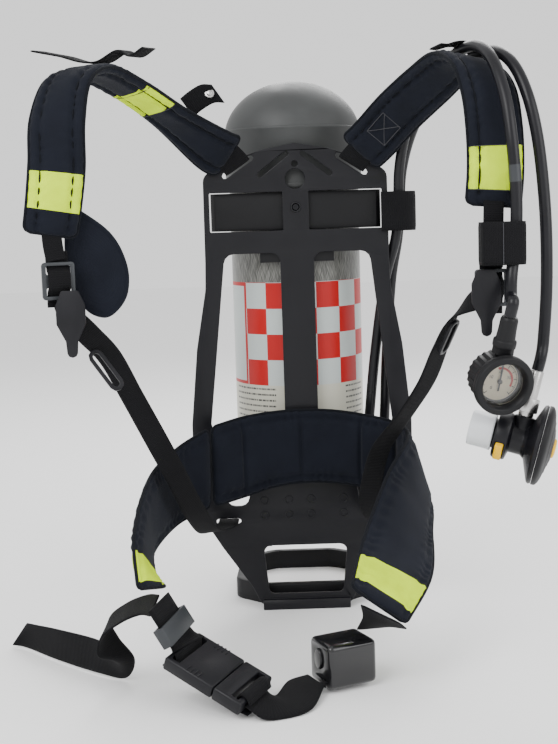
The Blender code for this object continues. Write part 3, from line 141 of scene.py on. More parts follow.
LOWER_LEFT_SIDE = (
    (0.1, 0, 1), (0.3, 0.35, 0.88), (0.62, 0.45, 0.55),
    (0.8, 0.3, 0.4), (0.88, 0.15, 0.4), (0.88, 0.1, 0.42),
    (0.9, 0.05, 0.3), (0.97, 0.05, 0.15), (1, 0, 0.05),
    (1, 0, 0), (1, 0, 0), (1, 0, 0),
)
LOWER_RIGHT = (
    (-0.2345, -0.22, 0.3895), (-0.229, -0.2185, 0.374), (-0.214, -0.206, 0.354),
    (-0.1965, -0.185, 0.328), (-0.179, -0.163, 0.285), (-0.158, -0.156, 0.24),
    (-0.138, -0.145, 0.195), (-0.123, -0.113, 0.15), (-0.11, -0.068, 0.115),
    (-0.096, -0.026, 0.107), (-0.0905, -0.006, 0.108), (-0.09, 0.012, 0.108),
)
LOWER_RIGHT_SIDE = (
    (-0.8, 0.1, -0.6), (-0.75, 0.1, -0.65), (-0.62, 0.1, -0.75),
    (-0.75, 0.1, -0.6), (-0.88, 0.1, -0.42), (-0.9, -0.05, -0.38),
    (-0.85, -0.3, -0.35), (-0.88, -0.25, -0.25), (-0.98, -0.05, -0.12),
    (-1, 0, 0), (-1, 0, 0), (-1, 0, 0),
)
PLATE_LOOP = (
    (0.098, -0.003), (0.112, -0.0055), (0.129, -0.005),
    (0.1375, 0.005), (0.137, 0.022), (0.131, 0.033),
    (0.118, 0.035), (0.1105, 0.025), (0.1095, 0.011),
)
POUCH = (
    (-0.229, 0.486), (-0.19, 0.456), (-0.174, 0.424),
    (-0.174, 0.395), (-0.186, 0.376), (-0.201, 0.37),
    (-0.22, 0.382), (-0.234, 0.42), (-0.235, 0.455),
)
LUMBAR_UPPER = (
    (-0.104, -0.044, 0.229), (-0.07, -0.022, 0.2352), (-0.035, -0.013, 0.239),
    (0, -0.011, 0.2403), (0.035, -0.013, 0.239), (0.07, -0.022, 0.2345),
    (0.104, -0.044, 0.2294),
)
LUMBAR_LOWER = (
    (-0.104, -0.046, 0.1385), (-0.069, -0.024, 0.144), (-0.035, -0.013, 0.152),
    (0, -0.011, 0.156), (0.035, -0.013, 0.155), (0.069, -0.024, 0.151),
    (0.104, -0.046, 0.144),
)
HIP_LEFT_UPPER = (
    (0.1075, -0.048, 0.229), (0.115, -0.092, 0.22), (0.086, -0.15, 0.188),
    (0.055, -0.22, 0.138), (0.038, -0.29, 0.111),
)
HIP_LEFT_LOWER = (
    (0.109, -0.049, 0.142), (0.138, -0.085, 0.14), (0.133, -0.145, 0.125),
    (0.123, -0.215, 0.097), (0.09, -0.281, 0.07),
)
HIP_RIGHT_UPPER = (
    (-0.1075, -0.048, 0.228), (-0.142, -0.085, 0.212), (-0.166, -0.15, 0.194),
    (-0.174, -0.24, 0.158), (-0.166, -0.298, 0.118),
)
HIP_RIGHT_LOWER = (
    (-0.109, -0.05, 0.138), (-0.144, -0.085, 0.128), (-0.166, -0.145, 0.112),
    (-0.16, -0.2, 0.1), (-0.144, -0.252, 0.106),
)
TAIL_UPPER = (
    (-0.15, -0.256, 0.099), (-0.164, -0.235, 0.093), (-0.185, -0.23, 0.084),
    (-0.203, -0.233, 0.07), (-0.195, -0.236, 0.05), (-0.18, -0.235, 0.027),
    (-0.19, -0.225, 0.004), (-0.2184, -0.209, 0.003), (-0.2685, -0.1644, 0.0025),
    (-0.312, -0.12, 0.0025), (-0.33, -0.1105, 0.0025),
)
TAIL_LOWER = (
    (-0.156, -0.295, 0.09), (-0.168, -0.278, 0.086), (-0.186, -0.274, 0.078),
    (-0.206, -0.274, 0.064), (-0.212, -0.273, 0.048), (-0.208, -0.264, 0.038),
    (-0.205, -0.238, 0.037), (-0.221, -0.203, 0.037), (-0.268, -0.16, 0.035),
    (-0.299, -0.129, 0.031), (-0.312, -0.112, 0.028),
)
GAUGE_AT = Vector((0.1876, -0.243, 0.3015))
GAUGE_HOSE_END = Vector((0.1983, -0.257, 0.3631))
GAUGE_FACING = Vector((0.21, -0.93, -0.3))
VALVE_FLANGE_AT = Vector((0.233, -0.225, 0.2313))
VALVE_AXIS = Vector((0.936, -0.245, -0.252)).normalized()
VALVE_STEM_UP = Vector((0.226, 0.02, 0.97))
GAUGE_PORT_WAY = Vector((0.1, -0.55, 0.83)).normalized()
SUPPLY_PORT_WAY = Vector((0.17, -0.52, 0.83)).normalized()
BUCKLE_ENDS = (Vector((-0.129, -0.279, 0.05)), Vector((-0.0567, -0.318, 0.016)))
BUCKLE_UP = Vector((0.29, -0.33, 0.9))


def smooth_path(points, count):
    """count points along a smooth curve through the given ones."""
    knots = [Vector(p) for p in points]
    knots = [2 * knots[0] - knots[1], *knots, 2 * knots[-1] - knots[-2]]
    spans = len(points) - 1
    made = []
    for i in range(count):
        along = spans * i / (count - 1)
        k = min(int(along), spans - 1)
        t = along - k
        a, b, c, d = knots[k : k + 4]
        bend = (2 * a - 5 * b + 4 * c - d) * t * t + (3 * b - a - 3 * c + d) * t**3
        made.append(0.5 * (2 * b + (c - a) * t + bend))
    return made


def run_length(points):
    return sum((b - a).length for a, b in zip(points, points[1:]))


def even_path(points, step):
    """Points about one step apart along the smooth curve."""
    fine = smooth_path(points, 40 * len(points))
    total = run_length(fine)
    count = max(2, round(total / step))
    made, gone, target = [fine[0]], 0.0, total / count
    for a, b in zip(fine, fine[1:]):
        piece = (b - a).length
        while piece > 0 and gone + piece >= target * len(made) and len(made) < count:
            made.append(a.lerp(b, (target * len(made) - gone) / piece))
        gone += piece
    return [*made, fine[-1]]


def edges_of(middle, sides, half):
    """The two edges of a strap from its middle line and the direction of its width."""
    one, other = [], []
    last = len(middle) - 1
    for i, (p, side) in enumerate(zip(middle, sides)):
        here = Vector(p)
        run = Vector(middle[min(i + 1, last)]) - Vector(middle[max(i - 1, 0)])
        run.normalize()
        wide = Vector(side) - run * run.dot(Vector(side))
        wide.normalize()
        one.append(here + wide * half)
        other.append(here - wide * half)
    return one, other


def frame_at(place, x_axis, z_hint):
    x = Vector(x_axis).normalized()
    y = Vector(z_hint).cross(x).normalized()
    turned = Matrix((x, y, x.cross(y))).transposed().to_4x4()
    return Matrix.Translation(Vector(place)) @ turned


def along_z(place, z_axis, x_hint=(1, 0, 0)):
    z = Vector(z_axis).normalized()
    x = (Vector(x_hint) - z * z.dot(Vector(x_hint))).normalized()
    turned = Matrix((x, z.cross(x), z)).transposed().to_4x4()
    return Matrix.Translation(Vector(place)) @ turned


def mirrored(points):
    return [Vector((-p[0], p[1], p[2])) for p in points]


def gauge_place():
    """Local Z out of the dial, local X along the stem."""
    way = (GAUGE_HOSE_END - GAUGE_AT).normalized()
    facing = (GAUGE_FACING - way * way.dot(GAUGE_FACING)).normalized()
    return along_z(GAUGE_AT + facing * 0.004, facing, way)


def supply_place():
    up = (VALVE_STEM_UP - VALVE_AXIS * VALVE_AXIS.dot(VALVE_STEM_UP)).normalized()
    return along_z(VALVE_FLANGE_AT - VALVE_AXIS * 0.021, up, VALVE_AXIS)


DEMAND_PLACE = along_z(VALVE_FLANGE_AT, VALVE_AXIS, (0, 0, 1))


# ---- finishes ------------------------------------------------------------------------------------
def put(tree, kind, feeds=(), **settings):
    """One shader node; feeds are (input, value or another node's output)."""
    made = tree.nodes.new(kind)
    for key, value in settings.items():
        setattr(made, key, value)
    for socket, value in feeds:
        if isinstance(value, bpy.types.NodeSocket):
            tree.links.new(value, made.inputs[socket])
        else:
            made.inputs[socket].default_value = value
    return made


def sums(tree, operation, *values):
    feeds = list(enumerate(values))
    return put(tree, "ShaderNodeMath", feeds, operation=operation).outputs[0]


def blend_colour(tree, share, first, second):
    feeds = ((0, share), (6, first), (7, second))
    return put(tree, "ShaderNodeMix", feeds, data_type="RGBA").outputs[2]


def new_group(name, takes, gives):
    group = bpy.data.node_groups.new(name, "ShaderNodeTree")
    for way, sockets in (("INPUT", takes), ("OUTPUT", gives)):
        for label, kind in sockets:
            group.interface.new_socket(name=label, in_out=way, socket_type="NodeSocket" + kind)
    return group, put(group, "NodeGroupInput"), put(group, "NodeGroupOutput")


def grain_group():
    """Uneven tone, gloss and fine bumps of moulded, cast and turned pieces."""
    takes = (("Colour", "Color"), ("Spread", "Float"), ("Size", "Float"))
    takes += (("Roughness", "Float"), ("Depth", "Float"))
    gives = (("Colour", "Color"), ("Roughness", "Float"), ("Normal", "Vector"))
    group, start, end = new_group("grain", takes, gives)
    place = put(group, "ShaderNodeTexCoord").outputs["Object"]
    cloud = put(group, "ShaderNodeTexNoise", (("Vector", place), ("Scale", 24.0), ("Detail", 5.0)))
    fine = put(
        group, "ShaderNodeTexNoise", (("Vector", place), ("Scale", start.outputs["Size"]), ("Detail", 3.0))
    )
    drift = sums(group, "SUBTRACT", cloud.outputs[0], 0.5)
    tone = sums(group, "MULTIPLY_ADD", drift, start.outputs["Spread"], 1.0)
    shade = put(group, "ShaderNodeHueSaturation", (("Color", start.outputs["Colour"]), ("Value", tone)))
    rough = sums(group, "MULTIPLY_ADD", drift, 0.45, start.outputs["Roughness"])
    bump = put(
        group,
        "ShaderNodeBump",
        (("Strength", start.outputs["Depth"]), ("Distance", 0.0004), ("Height", fine.outputs[0])),
    )
    group.links.new(shade.outputs[0], end.inputs["Colour"])
    group.links.new(rough, end.inputs["Roughness"])
    group.links.new(bump.outputs[0], end.inputs["Normal"])
    return group


def weave_group():
    """Ribs across a strap and the yarns along it, from its own lengths and widths, with a painted shade
    that darkens the low parts of the weave.
    """
    takes = (("Along", "Float"), ("Across", "Float"), ("Depth", "Float"))
    group, start, end = new_group("weave", takes, (("Shade", "Float"), ("Normal", "Vector")))
    uv = put(group, "ShaderNodeSeparateXYZ", ((0, put(group, "ShaderNodeUVMap").outputs[0]),))
    turns = []
    for axis, pitch in ((0, "Along"), (1, "Across")):
        angle = sums(group, "DIVIDE", uv.outputs[axis], start.outputs[pitch])
        turns.append(sums(group, "MULTIPLY", angle, 2 * math.pi))
    ribs = sums(group, "SINE", turns[0])
    yarns = sums(group, "SINE", turns[1])
    crossing = sums(group, "MULTIPLY", ribs, yarns)
    height = sums(group, "MULTIPLY_ADD", crossing, 0.7, sums(group, "MULTIPLY", ribs, 0.5))
    bump = put(
        group,
        "ShaderNodeBump",
        (("Strength", start.outputs["Depth"]), ("Distance", 0.0003), ("Height", height)),
    )
    # Painted shade: colour lighter on the raised yarn crossings and darker in the grooves between them.
    shade = sums(group, "MULTIPLY_ADD", height, 0.12, 1.0)
    group.links.new(shade, end.inputs["Shade"])
    group.links.new(bump.outputs[0], end.inputs["Normal"])
    return group


GRAIN = grain_group()
WEAVE = weave_group()


def new_finish(name):
    made = bpy.data.materials.new(name)
    made.use_nodes = True
    return made, made.node_tree, made.node_tree.nodes["Principled BSDF"]


def moulded(name, colour, rough, spread=0.5, size=900.0, depth=0.15, metal=0.0, clear=0.0, shine=0.3):
    """A plain hard or rubbery finish with its grain."""
    made, tree, shader = new_finish(name)
    feeds = (("Colour", (*colour, 1)), ("Spread", spread), ("Size", size))
    feeds += (("Roughness", rough), ("Depth", depth))
    grain = tree.nodes.new("ShaderNodeGroup")
    grain.node_tree = GRAIN
    for socket, value in feeds:
        grain.inputs[socket].default_value = value
    tree.links.new(grain.outputs["Colour"], shader.inputs["Base Color"])
    tree.links.new(grain.outputs["Roughness"], shader.inputs["Roughness"])
    tree.links.new(grain.outputs["Normal"], shader.inputs["Normal"])
    shader.inputs["Metallic"].default_value = metal
    shader.inputs["Specular IOR Level"].default_value = shine
    shader.inputs["Coat Weight"].default_value = clear
    return made


def woven(name, colour, along, across, depth, rough=0.85, sheen=0.03):
    """Webbing or cloth."""
    made, tree, shader = new_finish(name)
    weave = tree.nodes.new("ShaderNodeGroup")
    weave.node_tree = WEAVE
    weave.inputs["Along"].default_value = along
    weave.inputs["Across"].default_value = across
    weave.inputs["Depth"].default_value = depth
    place = put(tree, "ShaderNodeTexCoord").outputs["Object"]
    cloud = put(tree, "ShaderNodeTexNoise", (("Vector", place), ("Scale", 30.0), ("Detail", 6.0)))
    drift = sums(tree, "MULTIPLY_ADD", cloud.outputs[0], 0.7, 0.65)
    # The weave's Shade output is painted shade: it darkens the cloth colour in the low parts of the weave.
    value = sums(tree, "MULTIPLY", drift, weave.outputs["Shade"])
    shade = put(tree, "ShaderNodeHueSaturation", (("Color", (*colour, 1)), ("Value", value)))
    tree.links.new(shade.outputs[0], shader.inputs["Base Color"])
    tree.links.new(weave.outputs["Normal"], shader.inputs["Normal"])
    shader.inputs["Roughness"].default_value = rough
    shader.inputs["Sheen Weight"].default_value = sheen
    shader.inputs["Sheen Roughness"].default_value = 0.4
    shader.inputs["Specular IOR Level"].default_value = 0.12
    return made


def wound_cylinder():
    """Grey winding, with the chequered label and its plain panel wrapped round the front."""
    made, tree, shader = new_finish("wound_cylinder")
    place = put(tree, "ShaderNodeSeparateXYZ", ((0, put(tree, "ShaderNodeTexCoord").outputs["Object"]),))
    x, y, z = place.outputs
    back = sums(tree, "SUBTRACT", CYL_Y, y)
    arc = sums(tree, "MULTIPLY", sums(tree, "ARCTAN2", x, back), CYL_R)

    def between(value, low, high):
        over = sums(tree, "GREATER_THAN", value, low)
        return sums(tree, "MULTIPLY", over, sums(tree, "LESS_THAN", value, high))

    def streaks(lean, wide, tall):
        one = sums(tree, "MULTIPLY", sums(tree, "MULTIPLY_ADD", z, lean, arc), wide)
        two = sums(tree, "MULTIPLY", sums(tree, "MULTIPLY_ADD", arc, -lean, z), tall)
        grid = put(tree, "ShaderNodeCombineXYZ", ((0, one), (1, two)))
        feeds = (("Vector", grid.outputs[0]), ("Scale", 1.0), ("Detail", 3.0))
        return put(tree, "ShaderNodeTexNoise", feeds).outputs[0]

    fibre = sums(tree, "MULTIPLY", streaks(0.35, 900.0, 40.0), streaks(-0.35, 900.0, 40.0))
    fibre = sums(tree, "MULTIPLY_ADD", streaks(0.0, 700.0, 25.0), 0.35, fibre)
    spread = put(tree, "ShaderNodeMapRange", ((0, fibre), (1, 0.25), (2, 0.62)))
    winding = blend_colour(tree, spread.outputs[0], (0.015, 0.015, 0.014, 1), (0.26, 0.26, 0.24, 1))

    column = sums(tree, "FLOOR", sums(tree, "DIVIDE", sums(tree, "SUBTRACT", arc, 0.0217), 0.0307))
    row = sums(tree, "FLOOR", sums(tree, "DIVIDE", sums(tree, "SUBTRACT", z, 0.266), 0.0305))
    odd = sums(tree, "ABSOLUTE", sums(tree, "MODULO", sums(tree, "ADD", column, row), 2.0))
    red, pale = (0.42, 0.0025, 0.003, 1), (0.46, 0.5, 0.49, 1)
    chequer = blend_colour(tree, odd, pale, red)
    frame_inner = sums(tree, "MULTIPLY", between(arc, -0.118, -0.0748), between(z, 0.27, 0.384))
    panel = blend_colour(tree, frame_inner, red, pale)
    chequer = blend_colour(tree, sums(tree, "LESS_THAN", arc, -0.0714), chequer, panel)
    line = sums(tree, "FRACT", sums(tree, "DIVIDE", z, 0.0068))
    words = put(
        tree,
        "ShaderNodeTexNoise",
        (
            (
                "Vector",
                put(
                    tree,
                    "ShaderNodeCombineXYZ",
                    (
                        (0, sums(tree, "MULTIPLY", arc, 700.0)),
                        (1, sums(tree, "FLOOR", sums(tree, "DIVIDE", z, 0.0068))),
                    ),
                ).outputs[0],
            ),
            ("Scale", 1.0),
        ),
    )
    ink = sums(
        tree, "MULTIPLY", between(line, 0.3, 0.62), sums(tree, "GREATER_THAN", words.outputs[0], 0.47),
    )
    columns = sums(tree, "ADD", between(arc, -0.1, -0.03), between(arc, 0.06, 0.1))
    ink = sums(tree, "MULTIPLY", ink, columns)
    notes = blend_colour(tree, ink, (0.5, 0.49, 0.41, 1), (0.05, 0.05, 0.05, 1))
    label = blend_colour(tree, sums(tree, "LESS_THAN", z, 0.266), chequer, notes)
    on_label = sums(tree, "MULTIPLY", between(z, 0.196, 0.3885), between(arc, -0.121, 0.142))
    colour = blend_colour(tree, on_label, winding, label)
    tree.links.new(colour, shader.inputs["Base Color"])
    rough = sums(tree, "MULTIPLY_ADD", on_label, 0.1, 0.3)
    tree.links.new(rough, shader.inputs["Roughness"])
    shader.inputs["Specular IOR Level"].default_value = 0.3
    shader.inputs["Coat Weight"].default_value = 0.06
    shader.inputs["Coat Roughness"].default_value = 0.2
    return made


def printed_dial():
    """Cream face with its scale, warning zone and dark surround, in metres from the middle."""
    made, tree, shader = new_finish("printed_dial")
    uv = put(tree, "ShaderNodeSeparateXYZ", ((0, put(tree, "ShaderNodeUVMap").outputs[0]),))
    x, y = uv.outputs[0], uv.outputs[1]
    far = sums(tree, "SQRT", sums(tree, "ADD", sums(tree, "MULTIPLY", x, x), sums(tree, "MULTIPLY", y, y)))
    turn = sums(tree, "ARCTAN2", y, x)

    def between(value, low, high):
        over = sums(tree, "GREATER_THAN", value, low)
        return sums(tree, "MULTIPLY", over, sums(tree, "LESS_THAN", value, high))

    def ticks(step, half, low, high):
        part = sums(tree, "FRACT", sums(tree, "ADD", sums(tree, "DIVIDE", turn, math.radians(step)), 60.5))
        off = sums(tree, "ABSOLUTE", sums(tree, "SUBTRACT", part, 0.5))
        return sums(tree, "MULTIPLY", sums(tree, "LESS_THAN", off, half), between(far, low, high))

    on_scale = between(turn, math.radians(-137), math.radians(137))
    marks = sums(tree, "ADD", ticks(5.4, 0.16, 0.0168, 0.0183), ticks(27.0, 0.055, 0.0148, 0.0183))
    marks = sums(tree, "ADD", marks, between(far, 0.018, 0.0184))
    marks = sums(tree, "MULTIPLY", sums(tree, "MINIMUM", marks, 1.0), on_scale)
    colour = blend_colour(tree, marks, (0.56, 0.5, 0.36, 1), (0.008, 0.008, 0.008, 1))
    zone = sums(tree, "MULTIPLY", between(far, 0.012, 0.0143), between(turn, -1.95, 0.25))
    colour = blend_colour(tree, zone, colour, (0.42, 0.008, 0.006, 1))
    colour = blend_colour(tree, sums(tree, "GREATER_THAN", far, 0.0193), colour, (0.02, 0.02, 0.02, 1))
    tree.links.new(colour, shader.inputs["Base Color"])
    shader.inputs["Roughness"].default_value = 0.55
    return made


def see_through(name, colour, rough, share):
    made, tree, shader = new_finish(name)
    shader.inputs["Base Color"].default_value = (*colour, 1)
    shader.inputs["Roughness"].default_value = rough
    shader.inputs["Transmission Weight"].default_value = share
    shader.inputs["IOR"].default_value = 1.45
    return made


FINISH = {
    "nylon": moulded("black_nylon", (0.006, 0.006, 0.008), 0.4, depth=0.3, shine=0.24),
    "rubber": moulded("black_rubber", (0.006, 0.006, 0.007), 0.48, depth=0.25, shine=0.22),
    "boot_rubber": moulded("boot_rubber", (0.04, 0.042, 0.042), 0.46, spread=0.9, depth=0.18),
    "hose_rubber": moulded("hose_rubber", (0.007, 0.007, 0.009), 0.34, depth=0.1, shine=0.25),
    "composite": wound_cylinder(),
    "brass": moulded("plated_brass", (0.62, 0.48, 0.28), 0.3, spread=0.3, metal=1.0),
    "steel": moulded("brushed_steel", (0.52, 0.51, 0.5), 0.3, spread=0.3, metal=1.0),
    "webbing": woven("webbing", (0.006, 0.006, 0.007), 0.0022, 0.0016, 0.9),
    "pad_cloth": woven("pad_cloth", (0.007, 0.0085, 0.014), 0.0011, 0.0011, 0.55, sheen=0.05),
    "grey_plastic": moulded("grey_plastic", (0.03, 0.033, 0.037), 0.42, depth=0.3),
    "housing_gloss": moulded("glossy_housing", (0.008, 0.008, 0.009), 0.2, depth=0.08, clear=0.5),
    "yellow_plastic": moulded("yellow_plastic", (0.8, 0.46, 0.0), 0.34, spread=0.2, depth=0.1),
    "milky_cap": see_through("milky_cap", (0.9, 0.92, 0.95), 0.38, 0.35),
    "dial_face": printed_dial(),
    "needle": moulded("needle_paint", (0.012, 0.012, 0.012), 0.4, spread=0.1, depth=0.05),
    "lens": see_through("lens", (1.0, 1.0, 1.0), 0.03, 1.0),
}
YELLOW = woven("signal_cloth", (0.58, 0.8, 0.0), 0.0009, 0.0009, 0.35, rough=0.7, sheen=0.0)
BINDING = woven("edge_binding", (0.005, 0.006, 0.009), 0.0012, 0.001, 0.6)
THREAD = moulded("grey_thread", (0.035, 0.035, 0.04), 0.7, spread=0.3)


# ---- making pieces -------------------------------------------------------------------------------
def choose(piece):
    bpy.ops.object.select_all(action="DESELECT")
    piece.select_set(True)
    bpy.context.view_layer.objects.active = piece


def soften(piece, width, segments=2, angle=30):
    """Rounds the piece's hard edges."""
    edge = piece.modifiers.new("edges", "BEVEL")
    edge.width = width
    edge.segments = segments
    edge.limit_method = "ANGLE"
    edge.angle_limit = math.radians(angle)
    edge.use_clamp_overlap = False
    choose(piece)
    bpy.ops.object.modifier_apply(modifier=edge.name)


def dressed(piece, finish, node=None, body=None, slot=None, smooth=38):
    """Gives a piece its finish and its body, and hides the CAD nodes it stands in for."""
    names = [node] if isinstance(node, str) else list(node or [])
    if finish:
        piece.data.materials.clear()
        piece.data.materials.append(finish)
    if smooth:
        choose(piece)
        bpy.ops.object.shade_smooth_by_angle(angle=math.radians(smooth))
    if names:
        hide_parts(*names)
        body = body or nodes[names[0]]["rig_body"]
        slot = slot or slot_of_node[names[0]]
    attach(piece, body or "pack")
    slot or "nylon"
    return piece


def refined(node, width=0.0006, segments=2, finish=None, smooth=38, flatten=True):
    """The CAD piece again, with its edges rounded."""
    piece = bpy.data.objects.new(node + "_piece", nodes[node].data.copy())
    scene.collection.objects.link(piece)
    choose(piece)
    bpy.ops.object.mode_set(mode="EDIT")
    bpy.ops.mesh.select_all(action="SELECT")
    bpy.ops.mesh.remove_doubles(threshold=0.00001)
    if flatten:
        bpy.ops.mesh.dissolve_limited(angle_limit=math.radians(0.5))
    bpy.ops.mesh.normals_make_consistent(inside=False)
    bpy.ops.object.mode_set(mode="OBJECT")
    if piece.data.has_custom_normals:
        bpy.ops.mesh.customdata_custom_splitnormals_clear()
    if width:
        soften(piece, width, segments)
    return dressed(piece, finish or FINISH[slot_of_node[node]], node, smooth=smooth)


def lathe(name, profile, place, sides=96):
    """A profile of (radius, height), drawn point by point and spun about its own upright axis."""
    bpy.ops.object.select_all(action="DESELECT")
    bpy.ops.mesh.primitive_plane_add(size=0.01)
    piece = bpy.context.object
    piece.name = name
    bpy.ops.object.mode_set(mode="EDIT")
    bpy.ops.mesh.select_all(action="SELECT")
    bpy.ops.mesh.merge(type="CENTER")
    bpy.ops.transform.translate(value=(profile[0][0], 0, profile[0][1]))
    for a, b in zip(profile, profile[1:]):
        bpy.ops.mesh.extrude_region_move(
            TRANSFORM_OT_translate={"value": (b[0] - a[0], 0, b[1] - a[1])}
        )
    bpy.ops.mesh.select_all(action="SELECT")
    bpy.ops.mesh.spin(steps=sides, angle=2 * math.pi, center=(0, 0, 0), axis=(0, 0, 1))
    bpy.ops.mesh.select_all(action="SELECT")
    bpy.ops.mesh.remove_doubles(threshold=0.00002)
    bpy.ops.mesh.normals_make_consistent(inside=False)
    bpy.ops.object.mode_set(mode="OBJECT")
    piece.matrix_world = place
    bpy.ops.object.transform_apply(location=True, rotation=True, scale=True)
    return piece


def arc(radius, base, height, start, end, steps):
    """Points of a quarter ellipse, with angles in degrees above the base."""
    made = []
    for i in range(steps + 1):
        angle = math.radians(start + (end - start) * i / steps)
        made.append((max(0.0, radius * math.cos(angle)), base + height * math.sin(angle)))
    return made


def from_rows(name, rows, lengths, closed=False, finish_of=None):
    """A skin through rings of points; its UV is metres along and metres around."""
    bm = bmesh.new()
    uv = bm.loops.layers.uv.new("UVMap")
    grid = [[bm.verts.new(p) for p in row] for row in rows]
    around = [0.0]
    ring = rows[len(rows) // 2]
    for a, b in zip(ring, [*ring[1:], ring[0]]):
        around.append(around[-1] + (b - a).length)
    count = len(ring)
    spans = len(rows) if closed else len(rows) - 1
    for i in range(spans):
        for j in range(count):
            here, after = grid[i], grid[(i + 1) % len(rows)]
            k = (j + 1) % count
            face = bm.faces.new((here[j], here[k], after[k], after[j]))
            face.smooth = True
            spots = ((i, j), (i, j + 1), (i + 1, j + 1), (i + 1, j))
            for loop, (a, b) in zip(face.loops, spots):
                loop[uv].uv = (lengths[min(a, len(lengths) - 1)], around[b])
            if finish_of:
                face.material_index = finish_of(lengths[i], j / count)
    if not closed:
        for row in (grid[0], grid[-1]):
            cap = bm.faces.new(row)
            for loop in cap.loops:
                loop[uv].uv = (0.0, around[row.index(loop.vert)])
    bmesh.ops.recalc_face_normals(bm, faces=bm.faces)
    mesh = bpy.data.meshes.new(name)
    bm.to_mesh(mesh)
    bm.free()
    piece = bpy.data.objects.new(name, mesh)
    scene.collection.objects.link(piece)
    return piece


def run_of(points):
    made = [0.0]
    for a, b in zip(points, points[1:]):
        made.append(made[-1] + (b - a).length)
    return made


def direction(points, i):
    last = len(points) - 1
    return (points[min(i + 1, last)] - points[max(i - 1, 0)]).normalized()


def paired(upper, lower, count):
    one, other = smooth_path(upper, count), smooth_path(lower, count)
    return one, other, [a.lerp(b, 0.5) for a, b in zip(one, other)]


def strap(name, upper, lower, thick=WEB_T, count=120, across=8, ripple=0.0004, closed=False):
    """Flat webbing between two smooth edges, with rounded selvedges and a slight waviness."""
    one, other, middle = paired(upper, lower, count)
    rows = []
    for i, (a, b) in enumerate(zip(one, other)):
        out = direction(middle, i).cross((a - b).normalized()).normalized()
        wave = ripple * noise.noise(middle[i] * 35.0) * 2
        face, back = [], []
        for j in range(across + 1):
            s = 1 - 2 * j / across
            half = thick / 2 * (0.55 if abs(s) > 0.99 else 1.0)
            here = a.lerp(b, j / across) + out * wave * (1 - s * s)
            face.append(here + out * half)
            back.append(here - out * half)
        rows.append(face + back[::-1])
    if closed:
        rows = rows[:-1]
    piece = from_rows(name, rows, run_of(middle), closed)
    return piece


def stitched(name, path, step=0.003, swing=0.0, wide=None, radius=0.00045, body="pack"):
    """A line of sewing thread that dips at each stitch, straight or zigzag."""
    points = even_path(path, step / 2)
    made = []
    for i, p in enumerate(points):
        side = wide(i, points) if callable(wide) else (wide or Vector((0, 0, 1)))
        made.append(p + side * swing * (1 if i % 2 else -1))
    return tube(name, made, radius, THREAD, body)


def tube(name, points, radius, finish, body="pack", rings=3):
    """A round thread, piping or hose along its points."""
    line = bpy.data.curves.new(name, "CURVE")
    line.dimensions = "3D"
    line.bevel_depth = radius
    line.bevel_resolution = rings
    line.use_fill_caps = True
    spline = line.splines.new("POLY")
    spline.points.add(len(points) - 1)
    for point, p in zip(spline.points, points):
        point.co = (*p, 1)
    spline.use_smooth = True
    line.materials.append(finish)
    piece = bpy.data.objects.new(name, line)
    scene.collection.objects.link(piece)
    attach(piece, body)
    return piece


def pad(
    name, upper, lower, thick, grooves=(), seams=(), yellow=(), back_only=(), count=150, node=None,
    corner=0.007,
):
    """A stuffed cloth pad: rolls between its sewn grooves, puckers beside them, bound edges."""
    one, other, middle = paired(upper, lower, count)
    lengths = run_of(middle)
    total = lengths[-1]
    across = 22
    rows = []
    for i, (a, b) in enumerate(zip(one, other)):
        out = direction(middle, i).cross((a - b).normalized()).normalized()
        u = lengths[i]
        width = (a - b).length
        from_end = min(u, total - u)
        ends = min(1.0, 0.3 + 0.7 * (from_end / 0.01) ** 0.5)
        if from_end < corner:
            inset = corner - math.sqrt(corner**2 - (corner - from_end) ** 2)
            a, b = a.lerp(b, inset / width), b.lerp(a, inset / width)
            one[i], other[i], width = a, b, width - 2 * inset
        dip = 1.0
        for seam in seams:
            dip -= 0.5 * math.exp(-(((u - seam) / 0.0022) ** 2))
        face, back = [], []
        for j in range(across + 1):
            s = 1 - 2 * j / across
            rise = (1 - abs(s) ** 4) ** 0.5 * 0.85 + 0.15
            for groove in grooves:
                off = (s - groove) * width / 2
                rise -= 0.55 * math.exp(-((off / 0.0024) ** 2))
                gather = math.exp(-((off / 0.007) ** 2))
                rise += 0.11 * gather * math.sin(u / 0.0021 + 9 * noise.noise(Vector((u * 30, s, 1))))
            near_edge = math.exp(-(((1 - abs(s)) * width / 2 / 0.006) ** 2))
            rise += 0.06 * near_edge * math.sin(u / 0.0018 + 5 * s)
            soft = noise.noise(Vector((u * 38, s * 2.1, len(name))))
            height = thick / 2 * rise * ends * dip * (1 + 0.1 * soft)
            here = a.lerp(b, j / across)
            face.append(here + out * height)
            back.append(here - out * height * 0.92)
        rows.append(face + back[::-1])

    def finish_of(u, share):
        outer = share < 0.5
        if any(low <= u <= high for low, high in yellow):
            return 1
        if outer and any(low <= u <= high for low, high in back_only):
            return 1
        return 0

    piece = from_rows(name, rows, lengths, finish_of=finish_of)
    piece.data.materials.append(FINISH["pad_cloth"])
    piece.data.materials.append(YELLOW)
    dressed(piece, None, node, smooth=0)
    ring = [a + (a - b).normalized() * 0.0002 for a, b in zip(one, other)]
    far = [b + (b - a).normalized() * 0.0002 for a, b in zip(one, other)]
    loop = ring + far[::-1]
    tube(name + "_binding", [*loop, loop[0]], 0.0018, BINDING)
    return piece, one, other, middle


